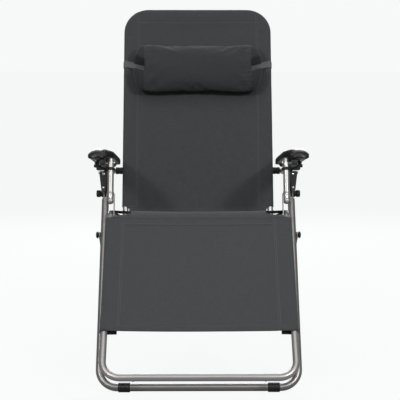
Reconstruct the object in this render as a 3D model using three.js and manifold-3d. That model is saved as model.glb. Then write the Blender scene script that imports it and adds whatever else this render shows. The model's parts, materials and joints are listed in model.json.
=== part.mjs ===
// Zero gravity recliner: a folding steel-tube lounger with a fabric sling, locking armrests and a bolster pillow.
// Millimetres, +Z up, the sitter faces -Y. The model stands on z = 0, centred over its own footprint.
import * as THREE from 'three';
import { mergeVertices } from 'three/addons/utils/BufferGeometryUtils.js';
import Module from 'manifold-3d';

const wasm = await Module();
wasm.setup();

// ---- driving dimensions, mm and degrees -------------------------------------------------------------------------

const BASE_TUBE_R = 10.5;
const FRAME_TUBE_R = 9.5;
const GAP = 0.3;
const FABRIC = 1.5;

// Side view: y runs rearward, z up from the floor.
const FLOOR_BAR_Z = 12.5;
const FRONT_BAR_Y = -17;
const REAR_BAR_Y = 764;
const ARM_HINGE = [307, 516];
const BASE_HINGE = [234.5, 402];
const KNEE = [165, 470];
const SEAT_SLOPE = 8.84;
const SEAT_LENGTH = 410;
const LEG_REST_DROP = 45.3;
const LEG_REST_LENGTH = 528;
const LEG_FABRIC_LENGTH = 394;
const BACK_LEAN = 19.9;
const BACK_LENGTH = 704;
const LINK_LENGTH = 156;

// Half-widths of the tube centre lines.
const BASE_HALF = 278.2;
const SEAT_HALF = 255.5;
const BACK_HALF = 234.5;
const REAR_LEG_HALF_TOP = 284;
const REAR_LEG_HALF_BOTTOM = 278;

// Bend radii of the tube centre lines.
const BASE_BEND = 52;
const LEG_REST_BEND = 48;
const KNEE_BEND = 42;
const BACK_BEND = 70;

// Armrests.
const PAD_INNER = 265.6;
const PAD_OUTER = 320;
const PAD_FRONT = -42;
const PAD_REAR = 372;
const PAD_BOTTOM = 10;
const PAD_TOP = 40;
const WING_INNER = 249.5;
const WING_BOTTOM = 17;
const WING_TOP = 35;
const NECK = [271.5, 282];
const HUB = [275, 290];
const HUB_R = 11;
const TONGUE = [280, 285];
const TONGUE_R = 7.5;
const STEM_REACH = 78;
const FOLD_SWING = 19;
const RECLINE_SWING = 10;
const HOUSING = [268, 304];
const LEVER_HALF_TOP = 14;
const LEVER_HALF_TIP = 6;
const LEVER_LENGTH = 58;
const LEVER_THICK = 9;

// Feet.
const SLEEVE_R = 13.5;
const SLEEVE_LENGTH = 33;
const SLEEVE_HALF = 208;

// Pillow and its strap, measured along the back from the hip pivot.
const PILLOW_UP = 493;
const PILLOW_WIDTH = 430;
const PILLOW_TALL = 164;
const PILLOW_DEEP = 84;
const STRAP_UP = 519;
const STRAP_TALL = 22;
const STRAP_THICK = 1.5;

const BOLT_R = 3;
const TUBE_SIDES = 16;
const BEND_STEPS = 6;

// ---- materials ----------------------------------------------------------------------------------------------------

const finish = (color, roughness, metalness) => new THREE.MeshStandardMaterial({ color, roughness, metalness });
const SILVER = finish(0xb9bbbd, 0.38, 0.75);
const BASE_SILVER = finish(0x8f9193, 0.42, 0.75);
const STEEL = finish(0xc9cbcd, 0.3, 0.9);
const BLACK_PLASTIC = finish(0x1c1d1f, 0.5, 0);
const FABRIC_GREY = finish(0x46494b, 0.95, 0);
const PILLOW_BLACK = finish(0x2c2e30, 0.95, 0);
const STRAP_GREY = finish(0x4c4e50, 0.9, 0);

// ---- solids -------------------------------------------------------------------------------------------------------

const radians = THREE.MathUtils.degToRad;

function toSolid(geometry) {
  const bare = geometry.index ? geometry.toNonIndexed() : geometry.clone();
  bare.deleteAttribute('normal');
  bare.deleteAttribute('uv');
  const merged = mergeVertices(bare, 1e-4);
  return new wasm.Manifold(new wasm.Mesh({
    numProp: 3,
    vertProperties: new Float32Array(merged.attributes.position.array),
    triVerts: new Uint32Array(merged.index.array),
  }));
}

function toGeometry(solid) {
  const mesh = solid.getMesh();
  const geometry = new THREE.BufferGeometry();
  geometry.setAttribute('position', new THREE.BufferAttribute(mesh.vertProperties, mesh.numProp));
  geometry.setIndex(new THREE.BufferAttribute(mesh.triVerts, 1));
  geometry.computeVertexNormals();
  return geometry;
}

const join = (...geometries) => toGeometry(geometries.map(toSolid).reduce((a, b) => a.add(b)));
const cut = (geometry, ...tools) => toGeometry(tools.map(toSolid).reduce((a, b) => a.subtract(b), toSolid(geometry)));
const mirrored = (geometry) => {
  const flipped = geometry.index ? geometry.toNonIndexed() : geometry.clone();
  flipped.scale(-1, 1, 1);
  const position = flipped.attributes.position;
  for (let i = 0; i < position.count; i += 3) {
    const [x, y, z] = [position.getX(i), position.getY(i), position.getZ(i)];
    position.setXYZ(i, position.getX(i + 1), position.getY(i + 1), position.getZ(i + 1));
    position.setXYZ(i + 1, x, y, z);
  }
  return flipped;
};

// A centre line of straight runs joined by arcs; each run is one step, and each arc is BEND_STEPS steps.
class BentLine extends THREE.Curve {
  constructor(corners, radii) {
    super();
    this.stations = [corners[0]];
    for (let i = 1; i < corners.length - 1; i += 1) {
      const before = corners[i - 1].clone().sub(corners[i]).normalize();
      const after = corners[i + 1].clone().sub(corners[i]).normalize();
      const half = before.angleTo(after) / 2;
      const centre = before.clone().add(after).normalize().multiplyScalar(radii[i - 1] / Math.sin(half));
      centre.add(corners[i]);
      const tangentLength = radii[i - 1] / Math.tan(half);
      const start = corners[i].clone().addScaledVector(before, tangentLength).sub(centre);
      const axis = before.clone().cross(after).normalize();
      for (let step = 0; step <= BEND_STEPS; step += 1) {
        const turn = -(Math.PI - 2 * half) * (step / BEND_STEPS);
        this.stations.push(start.clone().applyAxisAngle(axis, turn).add(centre));
      }
    }
    this.stations.push(corners[corners.length - 1]);
    this.steps = this.stations.length - 1;
  }

  getPoint(t) {
    const place = Math.min(Math.max(t, 0), 1) * this.steps;
    const index = Math.min(Math.floor(place), this.steps - 1);
    return this.stations[index].clone().lerp(this.stations[index + 1], place - index);
  }

  getUtoTmapping(u) {
    return u;
  }
}

function disc(radius, sides) {
  const shape = new THREE.Shape();
  for (let i = 0; i < sides; i += 1) {
    const angle = (2 * Math.PI * i) / sides;
    const [x, y] = [radius * Math.cos(angle), radius * Math.sin(angle)];
    if (i === 0) shape.moveTo(x, y);
    else shape.lineTo(x, y);
  }
  shape.closePath();
  return shape;
}

function bentTube(corners, radii, tubeRadius) {
  const line = new BentLine(corners.map((c) => new THREE.Vector3(...c)), radii);
  return new THREE.ExtrudeGeometry(disc(tubeRadius, TUBE_SIDES), {
    steps: line.steps, bevelEnabled: false, extrudePath: line,
  });
}

// A round bar along X between two lateral stations, centred on (y, z).
function crossRod(fromX, toX, [y, z], radius, sides = 16) {
  const rod = new THREE.CylinderGeometry(radius, radius, toX - fromX, sides);
  rod.rotateZ(Math.PI / 2);
  rod.translate((fromX + toX) / 2, y, z);
  return rod;
}

function block(fromX, toX, fromY, toY, fromZ, toZ) {
  const box = new THREE.BoxGeometry(toX - fromX, toY - fromY, toZ - fromZ);
  box.translate((fromX + toX) / 2, (fromY + toY) / 2, (fromZ + toZ) / 2);
  return box;
}

// A side-view outline of [y, z] points, given thickness along X.
function sidePlate(points, fromX, toX) {
  const shape = new THREE.Shape(points.map(([y, z]) => new THREE.Vector2(y, z)));
  const plate = new THREE.ExtrudeGeometry(shape, { depth: toX - fromX, bevelEnabled: false, steps: 1 });
  plate.applyMatrix4(new THREE.Matrix4().set(0, 0, 1, fromX, 1, 0, 0, 0, 0, 1, 0, 0, 0, 0, 0, 1));
  return plate;
}

function arcPoints([y, z], radius, fromDegrees, toDegrees, steps) {
  const points = [];
  for (let i = 0; i <= steps; i += 1) {
    const angle = radians(fromDegrees + ((toDegrees - fromDegrees) * i) / steps);
    points.push([y + radius * Math.cos(angle), z + radius * Math.sin(angle)]);
  }
  return points;
}

// A flat link with round ends, lying between two side-view points.
function link([y0, z0], [y1, z1], radius, fromX, toX) {
  const direction = THREE.MathUtils.radToDeg(Math.atan2(z1 - z0, y1 - y0));
  const outline = [
    ...arcPoints([y0, z0], radius, direction + 90, direction + 270, 8),
    ...arcPoints([y1, z1], radius, direction - 90, direction + 90, 8),
  ];
  return sidePlate(outline, fromX, toX);
}

// A bolt along X turned as one piece; stations are [x, radius] pairs from the inner head to the outer one.
function turned(stations, [y, z], sides = 20) {
  const profile = stations.map(([x, r]) => new THREE.Vector2(r, x));
  const piece = new THREE.LatheGeometry(profile, sides);
  piece.rotateZ(-Math.PI / 2);
  piece.translate(0, y, z);
  return piece;
}

function headedBolt(innerX, outerX, headR, headThick, centre) {
  return turned([
    [innerX - headThick, 0], [innerX - headThick, headR * 0.7], [innerX - headThick * 0.5, headR], [innerX, headR],
    [innerX, BOLT_R], [outerX, BOLT_R],
    [outerX, headR], [outerX + headThick * 0.5, headR], [outerX + headThick, headR * 0.7], [outerX + headThick, 0],
  ], centre, 12);
}

// ---- scene graph --------------------------------------------------------------------------------------------------

const recliner = new THREE.Group();

function bodyGroup([y, z] = [0, 0], tilt = 0) {
  const group = new THREE.Group();
  group.position.set(0, y, z);
  group.rotation.x = radians(tilt);
  recliner.add(group);
  return group;
}

function addPart(group, name, geometry, material) {
  const mesh = new THREE.Mesh(geometry, material);
  mesh.name = name;
  group.add(mesh);
}

// The sitter's left is +X when the sitter faces -Y.
function addPair(group, name, geometry, material) {
  addPart(group, `${name}_left`, geometry, material);
  addPart(group, `${name}_right`, mirrored(geometry), material);
}

const alongBy = (point, direction, distance) => [
  point[0] + distance * direction[0],
  point[1] + distance * direction[1],
];
const directionOf = (from, to) => {
  const length = Math.hypot(to[0] - from[0], to[1] - from[1]);
  return [(to[0] - from[0]) / length, (to[1] - from[1]) / length];
};

// ---- base: the front legs with the front floor bar ------------------------------------------------------------------

const base = bodyGroup();
const frontBar = [FRONT_BAR_Y, FLOOR_BAR_Z];
const legUp = directionOf(frontBar, ARM_HINGE);
const TONGUE_OVERLAP = 34;
const TUBE_STOP = 19;

function frontLegFrame() {
  const top = alongBy(ARM_HINGE, legUp, -TUBE_STOP);
  const tube = bentTube([
    [BASE_HALF, ...top], [BASE_HALF, ...frontBar], [-BASE_HALF, ...frontBar], [-BASE_HALF, ...top],
  ], [BASE_BEND, BASE_BEND], BASE_TUBE_R);
  const tongue = link(alongBy(ARM_HINGE, legUp, -TONGUE_OVERLAP), ARM_HINGE, TONGUE_R, ...TONGUE);
  const holes = [ARM_HINGE, BASE_HINGE].flatMap((centre) => [
    crossRod(BASE_HALF - 40, BASE_HALF + 40, centre, BOLT_R + GAP),
    crossRod(-BASE_HALF - 40, -BASE_HALF + 40, centre, BOLT_R + GAP),
  ]);
  return cut(join(tube, tongue, mirrored(tongue)), ...holes);
}

function footSleeve(centreY) {
  const shell = crossRod(-SLEEVE_LENGTH / 2, SLEEVE_LENGTH / 2, [centreY, FLOOR_BAR_Z], SLEEVE_R, 28);
  const bore = crossRod(-SLEEVE_LENGTH, SLEEVE_LENGTH, [centreY, FLOOR_BAR_Z], BASE_TUBE_R + GAP, 28);
  const floor = block(-SLEEVE_LENGTH, SLEEVE_LENGTH, centreY - 30, centreY + 30, -30, 0);
  const sleeve = cut(shell, bore, floor);
  sleeve.translate(SLEEVE_HALF, 0, 0);
  return sleeve;
}

function armHingeKnob() {
  return turned([
    [268, 0], [268, 5], [269, 6.5], [271.2, 6.5], [271.2, BOLT_R], [290.3, BOLT_R],
    [290.3, 8], [293, 8], [294, 10.5], [303, 10.5], [306, 8], [306, 0],
  ], ARM_HINGE);
}

addPart(base, 'front_leg_frame', frontLegFrame(), BASE_SILVER);
addPair(base, 'front_foot_sleeve', footSleeve(FRONT_BAR_Y), BLACK_PLASTIC);
addPair(base, 'arm_hinge_knob', armHingeKnob(), BLACK_PLASTIC);

// ---- rear legs with the rear floor bar ------------------------------------------------------------------------------

const rearBase = bodyGroup();
const rearBar = [REAR_BAR_Y, FLOOR_BAR_Z];
const rearDown = directionOf(BASE_HINGE, rearBar);
const PLATE_LENGTH = 98;
const PLATE = [289.2, 293.2];

function rearLegFrame() {
  const start = alongBy(BASE_HINGE, rearDown, 82);
  const tube = bentTube([
    [REAR_LEG_HALF_TOP, ...start], [REAR_LEG_HALF_BOTTOM, ...rearBar],
    [-REAR_LEG_HALF_BOTTOM, ...rearBar], [-REAR_LEG_HALF_TOP, ...start],
  ], [BASE_BEND, BASE_BEND], BASE_TUBE_R);
  const plate = link(BASE_HINGE, alongBy(BASE_HINGE, rearDown, PLATE_LENGTH), 9, ...PLATE);
  const holes = [
    crossRod(BASE_HALF, BASE_HALF + 40, BASE_HINGE, BOLT_R + GAP),
    crossRod(-BASE_HALF - 40, -BASE_HALF, BASE_HINGE, BOLT_R + GAP),
  ];
  return cut(join(tube, plate, mirrored(plate)), ...holes);
}

function baseHingeKnob() {
  return turned([
    [267.4, 0], [267.4, BOLT_R], [293.5, BOLT_R],
    [293.5, 6], [295, 6], [295.6, 10], [300, 10], [302.5, 7], [302.5, 0],
  ], BASE_HINGE);
}

addPart(rearBase, 'rear_leg_frame', rearLegFrame(), BASE_SILVER);
addPair(rearBase, 'rear_foot_sleeve', footSleeve(REAR_BAR_Y), BLACK_PLASTIC);
addPair(base, 'base_hinge_knob', baseHingeKnob(), BLACK_PLASTIC);

// ---- arms: local +Y runs rearward along the rail from the post pivot, local +Z is square to it ------------------------

const linkUp = [Math.sin(radians(BACK_LEAN)), Math.cos(radians(BACK_LEAN))];
const postPivot = alongBy(KNEE, linkUp, LINK_LENGTH);
const arms = bodyGroup(postPivot, -SEAT_SLOPE);

function toArms([y, z]) {
  const [dy, dz] = [y - postPivot[0], z - postPivot[1]];
  const [c, s] = [Math.cos(radians(SEAT_SLOPE)), Math.sin(radians(SEAT_SLOPE))];
  return [dy * c - dz * s, dy * s + dz * c];
}
const armHingeLocal = toArms(ARM_HINGE);
const RAIL_FRONT = -30;
const RAIL_REAR = SEAT_LENGTH + 17;
const RAIL_HALF = BASE_HALF;

function armRail() {
  const tube = bentTube([[RAIL_HALF, RAIL_FRONT, 0], [RAIL_HALF, RAIL_REAR, 0]], [], FRAME_TUBE_R);
  return cut(
    tube,
    crossRod(RAIL_HALF - 30, RAIL_HALF + 30, [0, 0], BOLT_R + GAP),
    crossRod(RAIL_HALF - 30, RAIL_HALF + 30, [SEAT_LENGTH, 0], BOLT_R + GAP),
  );
}

function railPlug() {
  const plug = new THREE.LatheGeometry([
    new THREE.Vector2(0, 0), new THREE.Vector2(FRAME_TUBE_R + 0.6, 0), new THREE.Vector2(FRAME_TUBE_R + 0.6, 3),
    new THREE.Vector2(FRAME_TUBE_R - 2, 6), new THREE.Vector2(0, 6),
  ], 20);
  plug.translate(RAIL_HALF, RAIL_REAR + GAP, 0);
  return plug;
}

// The moulded bracket: a housing round the rail, a neck down to the hinge, and a slotted hub over the leg's tongue.
function armBracket() {
  const [hingeY, hingeZ] = armHingeLocal;
  const housing = block(...HOUSING, hingeY - 30, hingeY + 26, -15, PAD_BOTTOM - GAP);
  const neck = sidePlate([
    [hingeY - 9, hingeZ], [hingeY + 9, hingeZ], [hingeY + 20, -12], [hingeY - 14, -12],
  ], ...NECK);
  const hub = crossRod(...HUB, armHingeLocal, HUB_R, 24);
  const bore = crossRod(HUB[0] - 20, HUB[1] + 20, armHingeLocal, BOLT_R + GAP);
  const railBore = new THREE.CylinderGeometry(FRAME_TUBE_R + GAP, FRAME_TUBE_R + GAP, 200, TUBE_SIDES);
  railBore.translate(RAIL_HALF, hingeY, 0);
  return cut(join(housing, neck, hub), bore, railBore, tongueSlot());
}

// The slot leaves room for the tongue's round end, and for its stem through the whole swing of the arms.
function tongueSlot() {
  const width = [TONGUE[0] - GAP, TONGUE[1] + GAP];
  const stem = THREE.MathUtils.radToDeg(Math.atan2(-legUp[1], -legUp[0])) + 360 + SEAT_SLOPE;
  const fan = [armHingeLocal, ...arcPoints(armHingeLocal, HUB_R + 12, stem - FOLD_SWING - STEM_REACH,
    stem + RECLINE_SWING + STEM_REACH, 16)];
  return join(crossRod(...width, armHingeLocal, TONGUE_R + 0.4, 24), sidePlate(fan, ...width));
}

// An inverted channel with rounded shoulders, laid along the top of the rail.
function armrestPad() {
  const middle = (PAD_INNER + PAD_OUTER) / 2;
  const half = (PAD_OUTER - PAD_INNER) / 2;
  const shoulder = 12;
  const outline = [
    [middle - half, PAD_BOTTOM], [middle + half, PAD_BOTTOM],
    ...arcPoints([middle + half - shoulder, PAD_TOP - shoulder], shoulder, 0, 90, 5),
    ...arcPoints([middle - half + shoulder, PAD_TOP - shoulder], shoulder, 90, 180, 5),
  ];
  const shape = new THREE.Shape(outline.map(([x, z]) => new THREE.Vector2(x, z)));
  const body = new THREE.ExtrudeGeometry(shape, { depth: PAD_REAR - PAD_FRONT, bevelEnabled: false, steps: 1 });
  body.applyMatrix4(new THREE.Matrix4().set(1, 0, 0, 0, 0, 0, -1, PAD_REAR, 0, 1, 0, 0, 0, 0, 0, 1));
  return join(body, padWing());
}

// The pad's inner edge, which reaches over the post and the back's pivot.
function padWing() {
  const outline = [
    [PAD_FRONT + 34, WING_BOTTOM], [PAD_REAR - 6, WING_BOTTOM], [PAD_REAR - 6, WING_TOP - 5], [PAD_REAR - 14, WING_TOP],
    [PAD_FRONT + 44, WING_TOP], [PAD_FRONT + 34, WING_TOP - 8],
  ];
  return sidePlate(outline, WING_INNER, PAD_INNER + 8);
}

const POST_HEAD_INNER = 244;

addPair(arms, 'arm_rail', armRail(), SILVER);
addPair(arms, 'arm_rail_plug', railPlug(), BLACK_PLASTIC);
addPair(arms, 'arm_bracket', armBracket(), BLACK_PLASTIC);
addPair(arms, 'armrest_pad', armrestPad(), BLACK_PLASTIC);
addPair(arms, 'post_pivot_bolt', headedBolt(POST_HEAD_INNER, RAIL_HALF + FRAME_TUBE_R + GAP, 6, 2.5, [0, 0]), STEEL);
addPair(arms, 'back_pivot_bolt', headedBolt(
  BACK_HALF - FRAME_TUBE_R - GAP, RAIL_HALF + FRAME_TUBE_R + GAP, 6, 2.5, [SEAT_LENGTH, 0],
), STEEL);

function backSpacer() {
  const body = crossRod(BACK_HALF + FRAME_TUBE_R + 2, RAIL_HALF - FRAME_TUBE_R - GAP, [SEAT_LENGTH, 0], 11.5, 24);
  return cut(body, crossRod(BACK_HALF, RAIL_HALF, [SEAT_LENGTH, 0], BOLT_R + GAP));
}
addPair(arms, 'back_pivot_spacer', backSpacer(), BLACK_PLASTIC);

// ---- lock levers: they hang in front of the bracket's neck and turn on a pin at their top -----------------------------

const leverPin = [armHingeLocal[0] - 26, -24];
const LEVER_MIDDLE = (HOUSING[0] + HOUSING[1]) / 2 - 3.5;

function lockLever() {
  const shape = new THREE.Shape([
    [-LEVER_HALF_TOP, 5], [-LEVER_HALF_TIP, -LEVER_LENGTH], [LEVER_HALF_TIP, -LEVER_LENGTH], [LEVER_HALF_TOP, 5],
  ].map(([x, z]) => new THREE.Vector2(x, z)));
  const blade = new THREE.ExtrudeGeometry(shape, { depth: LEVER_THICK, bevelEnabled: false, steps: 1 });
  blade.rotateX(Math.PI / 2);
  blade.translate(LEVER_MIDDLE, leverPin[0] + LEVER_THICK / 2, leverPin[1]);
  const bore = crossRod(LEVER_MIDDLE - 30, LEVER_MIDDLE + 30, leverPin, BOLT_R + GAP);
  return cut(blade, bore);
}

const levers = { left: bodyGroup(postPivot, -SEAT_SLOPE), right: bodyGroup(postPivot, -SEAT_SLOPE) };
addPart(levers.left, 'lock_lever_left', lockLever(), BLACK_PLASTIC);
addPart(levers.right, 'lock_lever_right', mirrored(lockLever()), BLACK_PLASTIC);

// ---- back: local +Z runs up the back from the hip pivot, local -Y faces the sitter -------------------------------------

const seatRear = [Math.cos(radians(SEAT_SLOPE)), -Math.sin(radians(SEAT_SLOPE))];
const hip = alongBy(KNEE, seatRear, SEAT_LENGTH);
const back = bodyGroup(hip, -BACK_LEAN);
const SHEET_NEAR = FRAME_TUBE_R + GAP;
const SHEET_FAR = SHEET_NEAR + FABRIC;
const WRAP_FLAP = 34;
const HIP_CLEAR = 80;
const HIP_EDGE = 20;
const DIP_DEPTH = -9;
const DIP_HALF = BACK_HALF - FRAME_TUBE_R - 2;

function backFrame() {
  const tube = bentTube([
    [BACK_HALF, 0, -11], [BACK_HALF, 0, BACK_LENGTH], [-BACK_HALF, 0, BACK_LENGTH], [-BACK_HALF, 0, -11],
  ], [BACK_BEND, BACK_BEND], FRAME_TUBE_R);
  const holes = [0, LINK_LENGTH].map((up) => crossRod(-BACK_HALF - 40, BACK_HALF + 40, [0, up], BOLT_R + GAP));
  return cut(tube, ...holes);
}

// The hem that turns round a side tube: a hook open towards the middle, as a band in the (x, depth) plane.
function hook(tubeX, length) {
  const outer = arcPoints([tubeX, 0], SHEET_FAR, -90, 90, 10);
  const inner = arcPoints([tubeX, 0], SHEET_NEAR, 90, -90, 10);
  const outline = [[tubeX - WRAP_FLAP, -SHEET_FAR], ...outer, [tubeX - WRAP_FLAP, SHEET_FAR],
    [tubeX - WRAP_FLAP, SHEET_NEAR], ...inner, [tubeX - WRAP_FLAP, -SHEET_NEAR]];
  const shape = new THREE.Shape(outline.map(([x, depth]) => new THREE.Vector2(x, depth)));
  return new THREE.ExtrudeGeometry(shape, { depth: length, bevelEnabled: false, steps: 1 });
}

// A band of fabric thickness through a polyline in the (along, offset) plane, given as a closed outline.
function band(points, thickness) {
  const above = points.map(([along, offset]) => [along, offset + thickness]);
  return [...points, ...above.reverse()];
}

function backSling() {
  const crown = BACK_BEND + 2;
  const top = BACK_LENGTH + FRAME_TUBE_R;
  const half = BACK_HALF;
  const face = new THREE.Shape([
    [-half, HIP_CLEAR], [half, HIP_CLEAR],
    ...arcPoints([half - crown, top - crown], crown, 0, 90, 8),
    ...arcPoints([-half + crown, top - crown], crown, 90, 180, 8),
  ].map(([x, z]) => new THREE.Vector2(x, z)));
  const sheet = new THREE.ExtrudeGeometry(face, { depth: FABRIC, bevelEnabled: false, steps: 1 });
  sheet.rotateX(Math.PI / 2);
  sheet.translate(0, -SHEET_NEAR, 0);
  const dip = sidePlate(
    [[-SHEET_NEAR, HIP_CLEAR + 1], [-SHEET_FAR, HIP_CLEAR + 1],
      [-DIP_DEPTH - FABRIC, HIP_EDGE], [-DIP_DEPTH, HIP_EDGE]],
    -DIP_HALF, DIP_HALF,
  );
  const wrapLength = BACK_LENGTH - BACK_BEND - HIP_CLEAR;
  const lower = hook(BACK_HALF, wrapLength);
  lower.translate(0, 0, HIP_CLEAR);
  const pinSlot = crossRod(-BACK_HALF - 40, BACK_HALF + 40, [0, LINK_LENGTH], 13, 24);
  const slotCore = block(-BACK_HALF + 40, BACK_HALF - 40, -30, 30, LINK_LENGTH - 20, LINK_LENGTH + 20);
  return cut(join(sheet, dip, lower, mirrored(lower)), cut(pinSlot, slotCore, frontGuard()));
}

// Keeps the pivot cut-outs out of the fabric's front face.
function frontGuard() {
  return block(-300, 300, -40, -SHEET_NEAR + 0.05, LINK_LENGTH - 30, LINK_LENGTH + 30);
}

addPart(back, 'back_frame', backFrame(), SILVER);
addPart(back, 'back_sling', backSling(), FABRIC_GREY);

// ---- seat and leg rest: local +Y runs rearward along the seat from the knee, local +Z is square to it -------------------

const seat = bodyGroup(KNEE, -SEAT_SLOPE);
const legAngle = radians(180 + LEG_REST_DROP + SEAT_SLOPE);
const legDirection = [Math.cos(legAngle), Math.sin(legAngle)];
const legEnd = [legDirection[0] * LEG_REST_LENGTH, legDirection[1] * LEG_REST_LENGTH];
const KNEE_CLEAR = 52;
const LEG_CLEAR = 20;
const CUTOUT_HALF = 222;

// The tube's corner sits outside the knee pivot, so that the bent tube itself passes through the pivot.
const kneeTurn = radians(180) - (radians(360) - legAngle);
const kneeSet = KNEE_BEND * (1 / Math.cos(kneeTurn / 2) - 1);
const corner = [kneeSet * Math.cos(legAngle / 2), kneeSet * Math.sin(legAngle / 2)];
const seatEnd = [SEAT_LENGTH, 0];
const seatRun = directionOf(corner, seatEnd);
const legRun = directionOf(corner, legEnd);

// A point beside a run of the frame: distance along it from the corner, offset towards the sitter's side.
const besideSeat = (distance, offset) => [
  corner[0] + seatRun[0] * distance - seatRun[1] * offset,
  corner[1] + seatRun[1] * distance + seatRun[0] * offset,
];
const besideLeg = (distance, offset) => [
  corner[0] + legRun[0] * distance + legRun[1] * offset,
  corner[1] + legRun[1] * distance - legRun[0] * offset,
];

function seatFrame() {
  const tube = bentTube([
    [SEAT_HALF, SEAT_LENGTH + 11, 0], [SEAT_HALF, ...corner], [SEAT_HALF, ...legEnd],
    [-SEAT_HALF, ...legEnd], [-SEAT_HALF, ...corner], [-SEAT_HALF, SEAT_LENGTH + 11, 0],
  ], [KNEE_BEND, LEG_REST_BEND, LEG_REST_BEND, KNEE_BEND], FRAME_TUBE_R);
  const holes = [[0, 0], seatEnd].map((centre) => crossRod(-300, 300, centre, BOLT_R + GAP));
  return cut(tube, ...holes);
}

function sideHook(run, clear, length) {
  const piece = hook(SEAT_HALF, length - clear);
  piece.rotateX(-Math.PI / 2);
  piece.translate(0, clear, 0);
  piece.rotateX(Math.atan2(run[1], run[0]));
  piece.translate(0, ...corner);
  return piece;
}

// Lets the post's foot and the bare tube show at each side of the knee.
function kneeCutout(run, clear) {
  const piece = block(CUTOUT_HALF, 300, -20, clear, -40, 40);
  piece.rotateX(Math.atan2(run[1], run[0]));
  piece.translate(0, ...corner);
  return piece;
}

function seatSling() {
  const miter = legAngle / 2;
  const kneeAt = (offset) => alongBy(corner, [Math.cos(miter), Math.sin(miter)], offset / Math.sin(miter));
  const seatFlat = SEAT_LENGTH - HIP_CLEAR;
  const panel = sidePlate([
    besideLeg(LEG_FABRIC_LENGTH, SHEET_NEAR), besideLeg(LEG_FABRIC_LENGTH, SHEET_FAR), kneeAt(SHEET_FAR),
    besideSeat(seatFlat, SHEET_FAR), besideSeat(seatFlat, SHEET_NEAR), kneeAt(SHEET_NEAR),
  ], -SEAT_HALF, SEAT_HALF);
  const dip = sidePlate([
    besideSeat(seatFlat - 1, SHEET_NEAR), besideSeat(seatFlat - 1, SHEET_FAR),
    besideSeat(SEAT_LENGTH - HIP_EDGE, DIP_DEPTH + FABRIC), besideSeat(SEAT_LENGTH - HIP_EDGE, DIP_DEPTH),
  ], -DIP_HALF, DIP_HALF);
  const hooks = [sideHook(seatRun, KNEE_CLEAR, seatFlat), sideHook(legRun, LEG_CLEAR, LEG_FABRIC_LENGTH)];
  const cutouts = [kneeCutout(seatRun, KNEE_CLEAR), kneeCutout(legRun, LEG_CLEAR)];
  return cut(join(panel, dip, ...hooks, ...hooks.map(mirrored)), ...cutouts, ...cutouts.map(mirrored));
}

// Headed inside, and flush outside where it passes the base legs.
function kneeBolt() {
  return turned([
    [240.4, 0], [240.4, 4.5], [241.2, 6.5], [242.4, 6.5], [242.4, BOLT_R], [267.2, BOLT_R], [267.2, 0],
  ], [0, 0], 12);
}

addPart(seat, 'seat_frame', seatFrame(), SILVER);
addPart(seat, 'seat_sling', seatSling(), FABRIC_GREY);
addPair(seat, 'hip_rivet', headedBolt(
  BACK_HALF - FRAME_TUBE_R - GAP, SEAT_HALF + FRAME_TUBE_R + GAP, 6, 2, [SEAT_LENGTH, 0],
), STEEL);
addPair(seat, 'knee_bolt', kneeBolt(), STEEL);

// ---- posts: local +Z runs up the post from the knee pivot to the armrest rail ---------------------------------------------

const posts = bodyGroup(KNEE, -BACK_LEAN);
const POST_FOOT = 40;
const POST_R = 9.2;
const FERRULE_R = 10.4;

function post() {
  const tube = bentTube([[SEAT_HALF, 0, POST_FOOT], [SEAT_HALF, 0, LINK_LENGTH + 12]], [], POST_R);
  const ferrule = bentTube([[SEAT_HALF, 0, POST_FOOT], [SEAT_HALF, 0, POST_FOOT + 30]], [], FERRULE_R);
  const innerEar = link([0, 0], [0, POST_FOOT + 16], 8.5, 242.7, 245.7);
  const outerEar = link([0, 0], [0, POST_FOOT + 16], 8.5, 265.3, 267);
  const holes = [0, LINK_LENGTH].map((up) => crossRod(200, 300, [0, up], BOLT_R + GAP));
  return cut(join(tube, ferrule, innerEar, outerEar), ...holes);
}

function postCollar() {
  const ring = new THREE.LatheGeometry([
    new THREE.Vector2(POST_R + GAP, 0), new THREE.Vector2(11.6, 0), new THREE.Vector2(12, 2),
    new THREE.Vector2(12, 6), new THREE.Vector2(11.4, 8), new THREE.Vector2(POST_R + GAP, 8),
    new THREE.Vector2(POST_R + GAP, 0),
  ], 24);
  ring.rotateX(Math.PI / 2);
  ring.translate(SEAT_HALF, 0, LINK_LENGTH - 22);
  return ring;
}

addPair(posts, 'post', post(), SILVER);
addPair(posts, 'post_collar', postCollar(), BLACK_PLASTIC);

// ---- pillow: a bolster on an elastic loop round the back -------------------------------------------------------------------

const pillowGroup = bodyGroup(hip, -BACK_LEAN);
const STRAP_INNER = SHEET_FAR + 0.6;
const STRAP_OUTER = STRAP_INNER + STRAP_THICK;

function pillowStrap() {
  const loop = (radius) => [
    ...arcPoints([BACK_HALF, 0], radius, -90, 90, 10),
    ...arcPoints([-BACK_HALF, 0], radius, 90, 270, 10),
  ].map(([x, depth]) => new THREE.Vector2(x, depth));
  const shape = new THREE.Shape(loop(STRAP_OUTER));
  shape.holes.push(new THREE.Path(loop(STRAP_INNER).reverse()));
  const strap = new THREE.ExtrudeGeometry(shape, { depth: STRAP_TALL, bevelEnabled: false, steps: 1 });
  strap.translate(0, 0, STRAP_UP - STRAP_TALL / 2);
  return strap;
}

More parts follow.
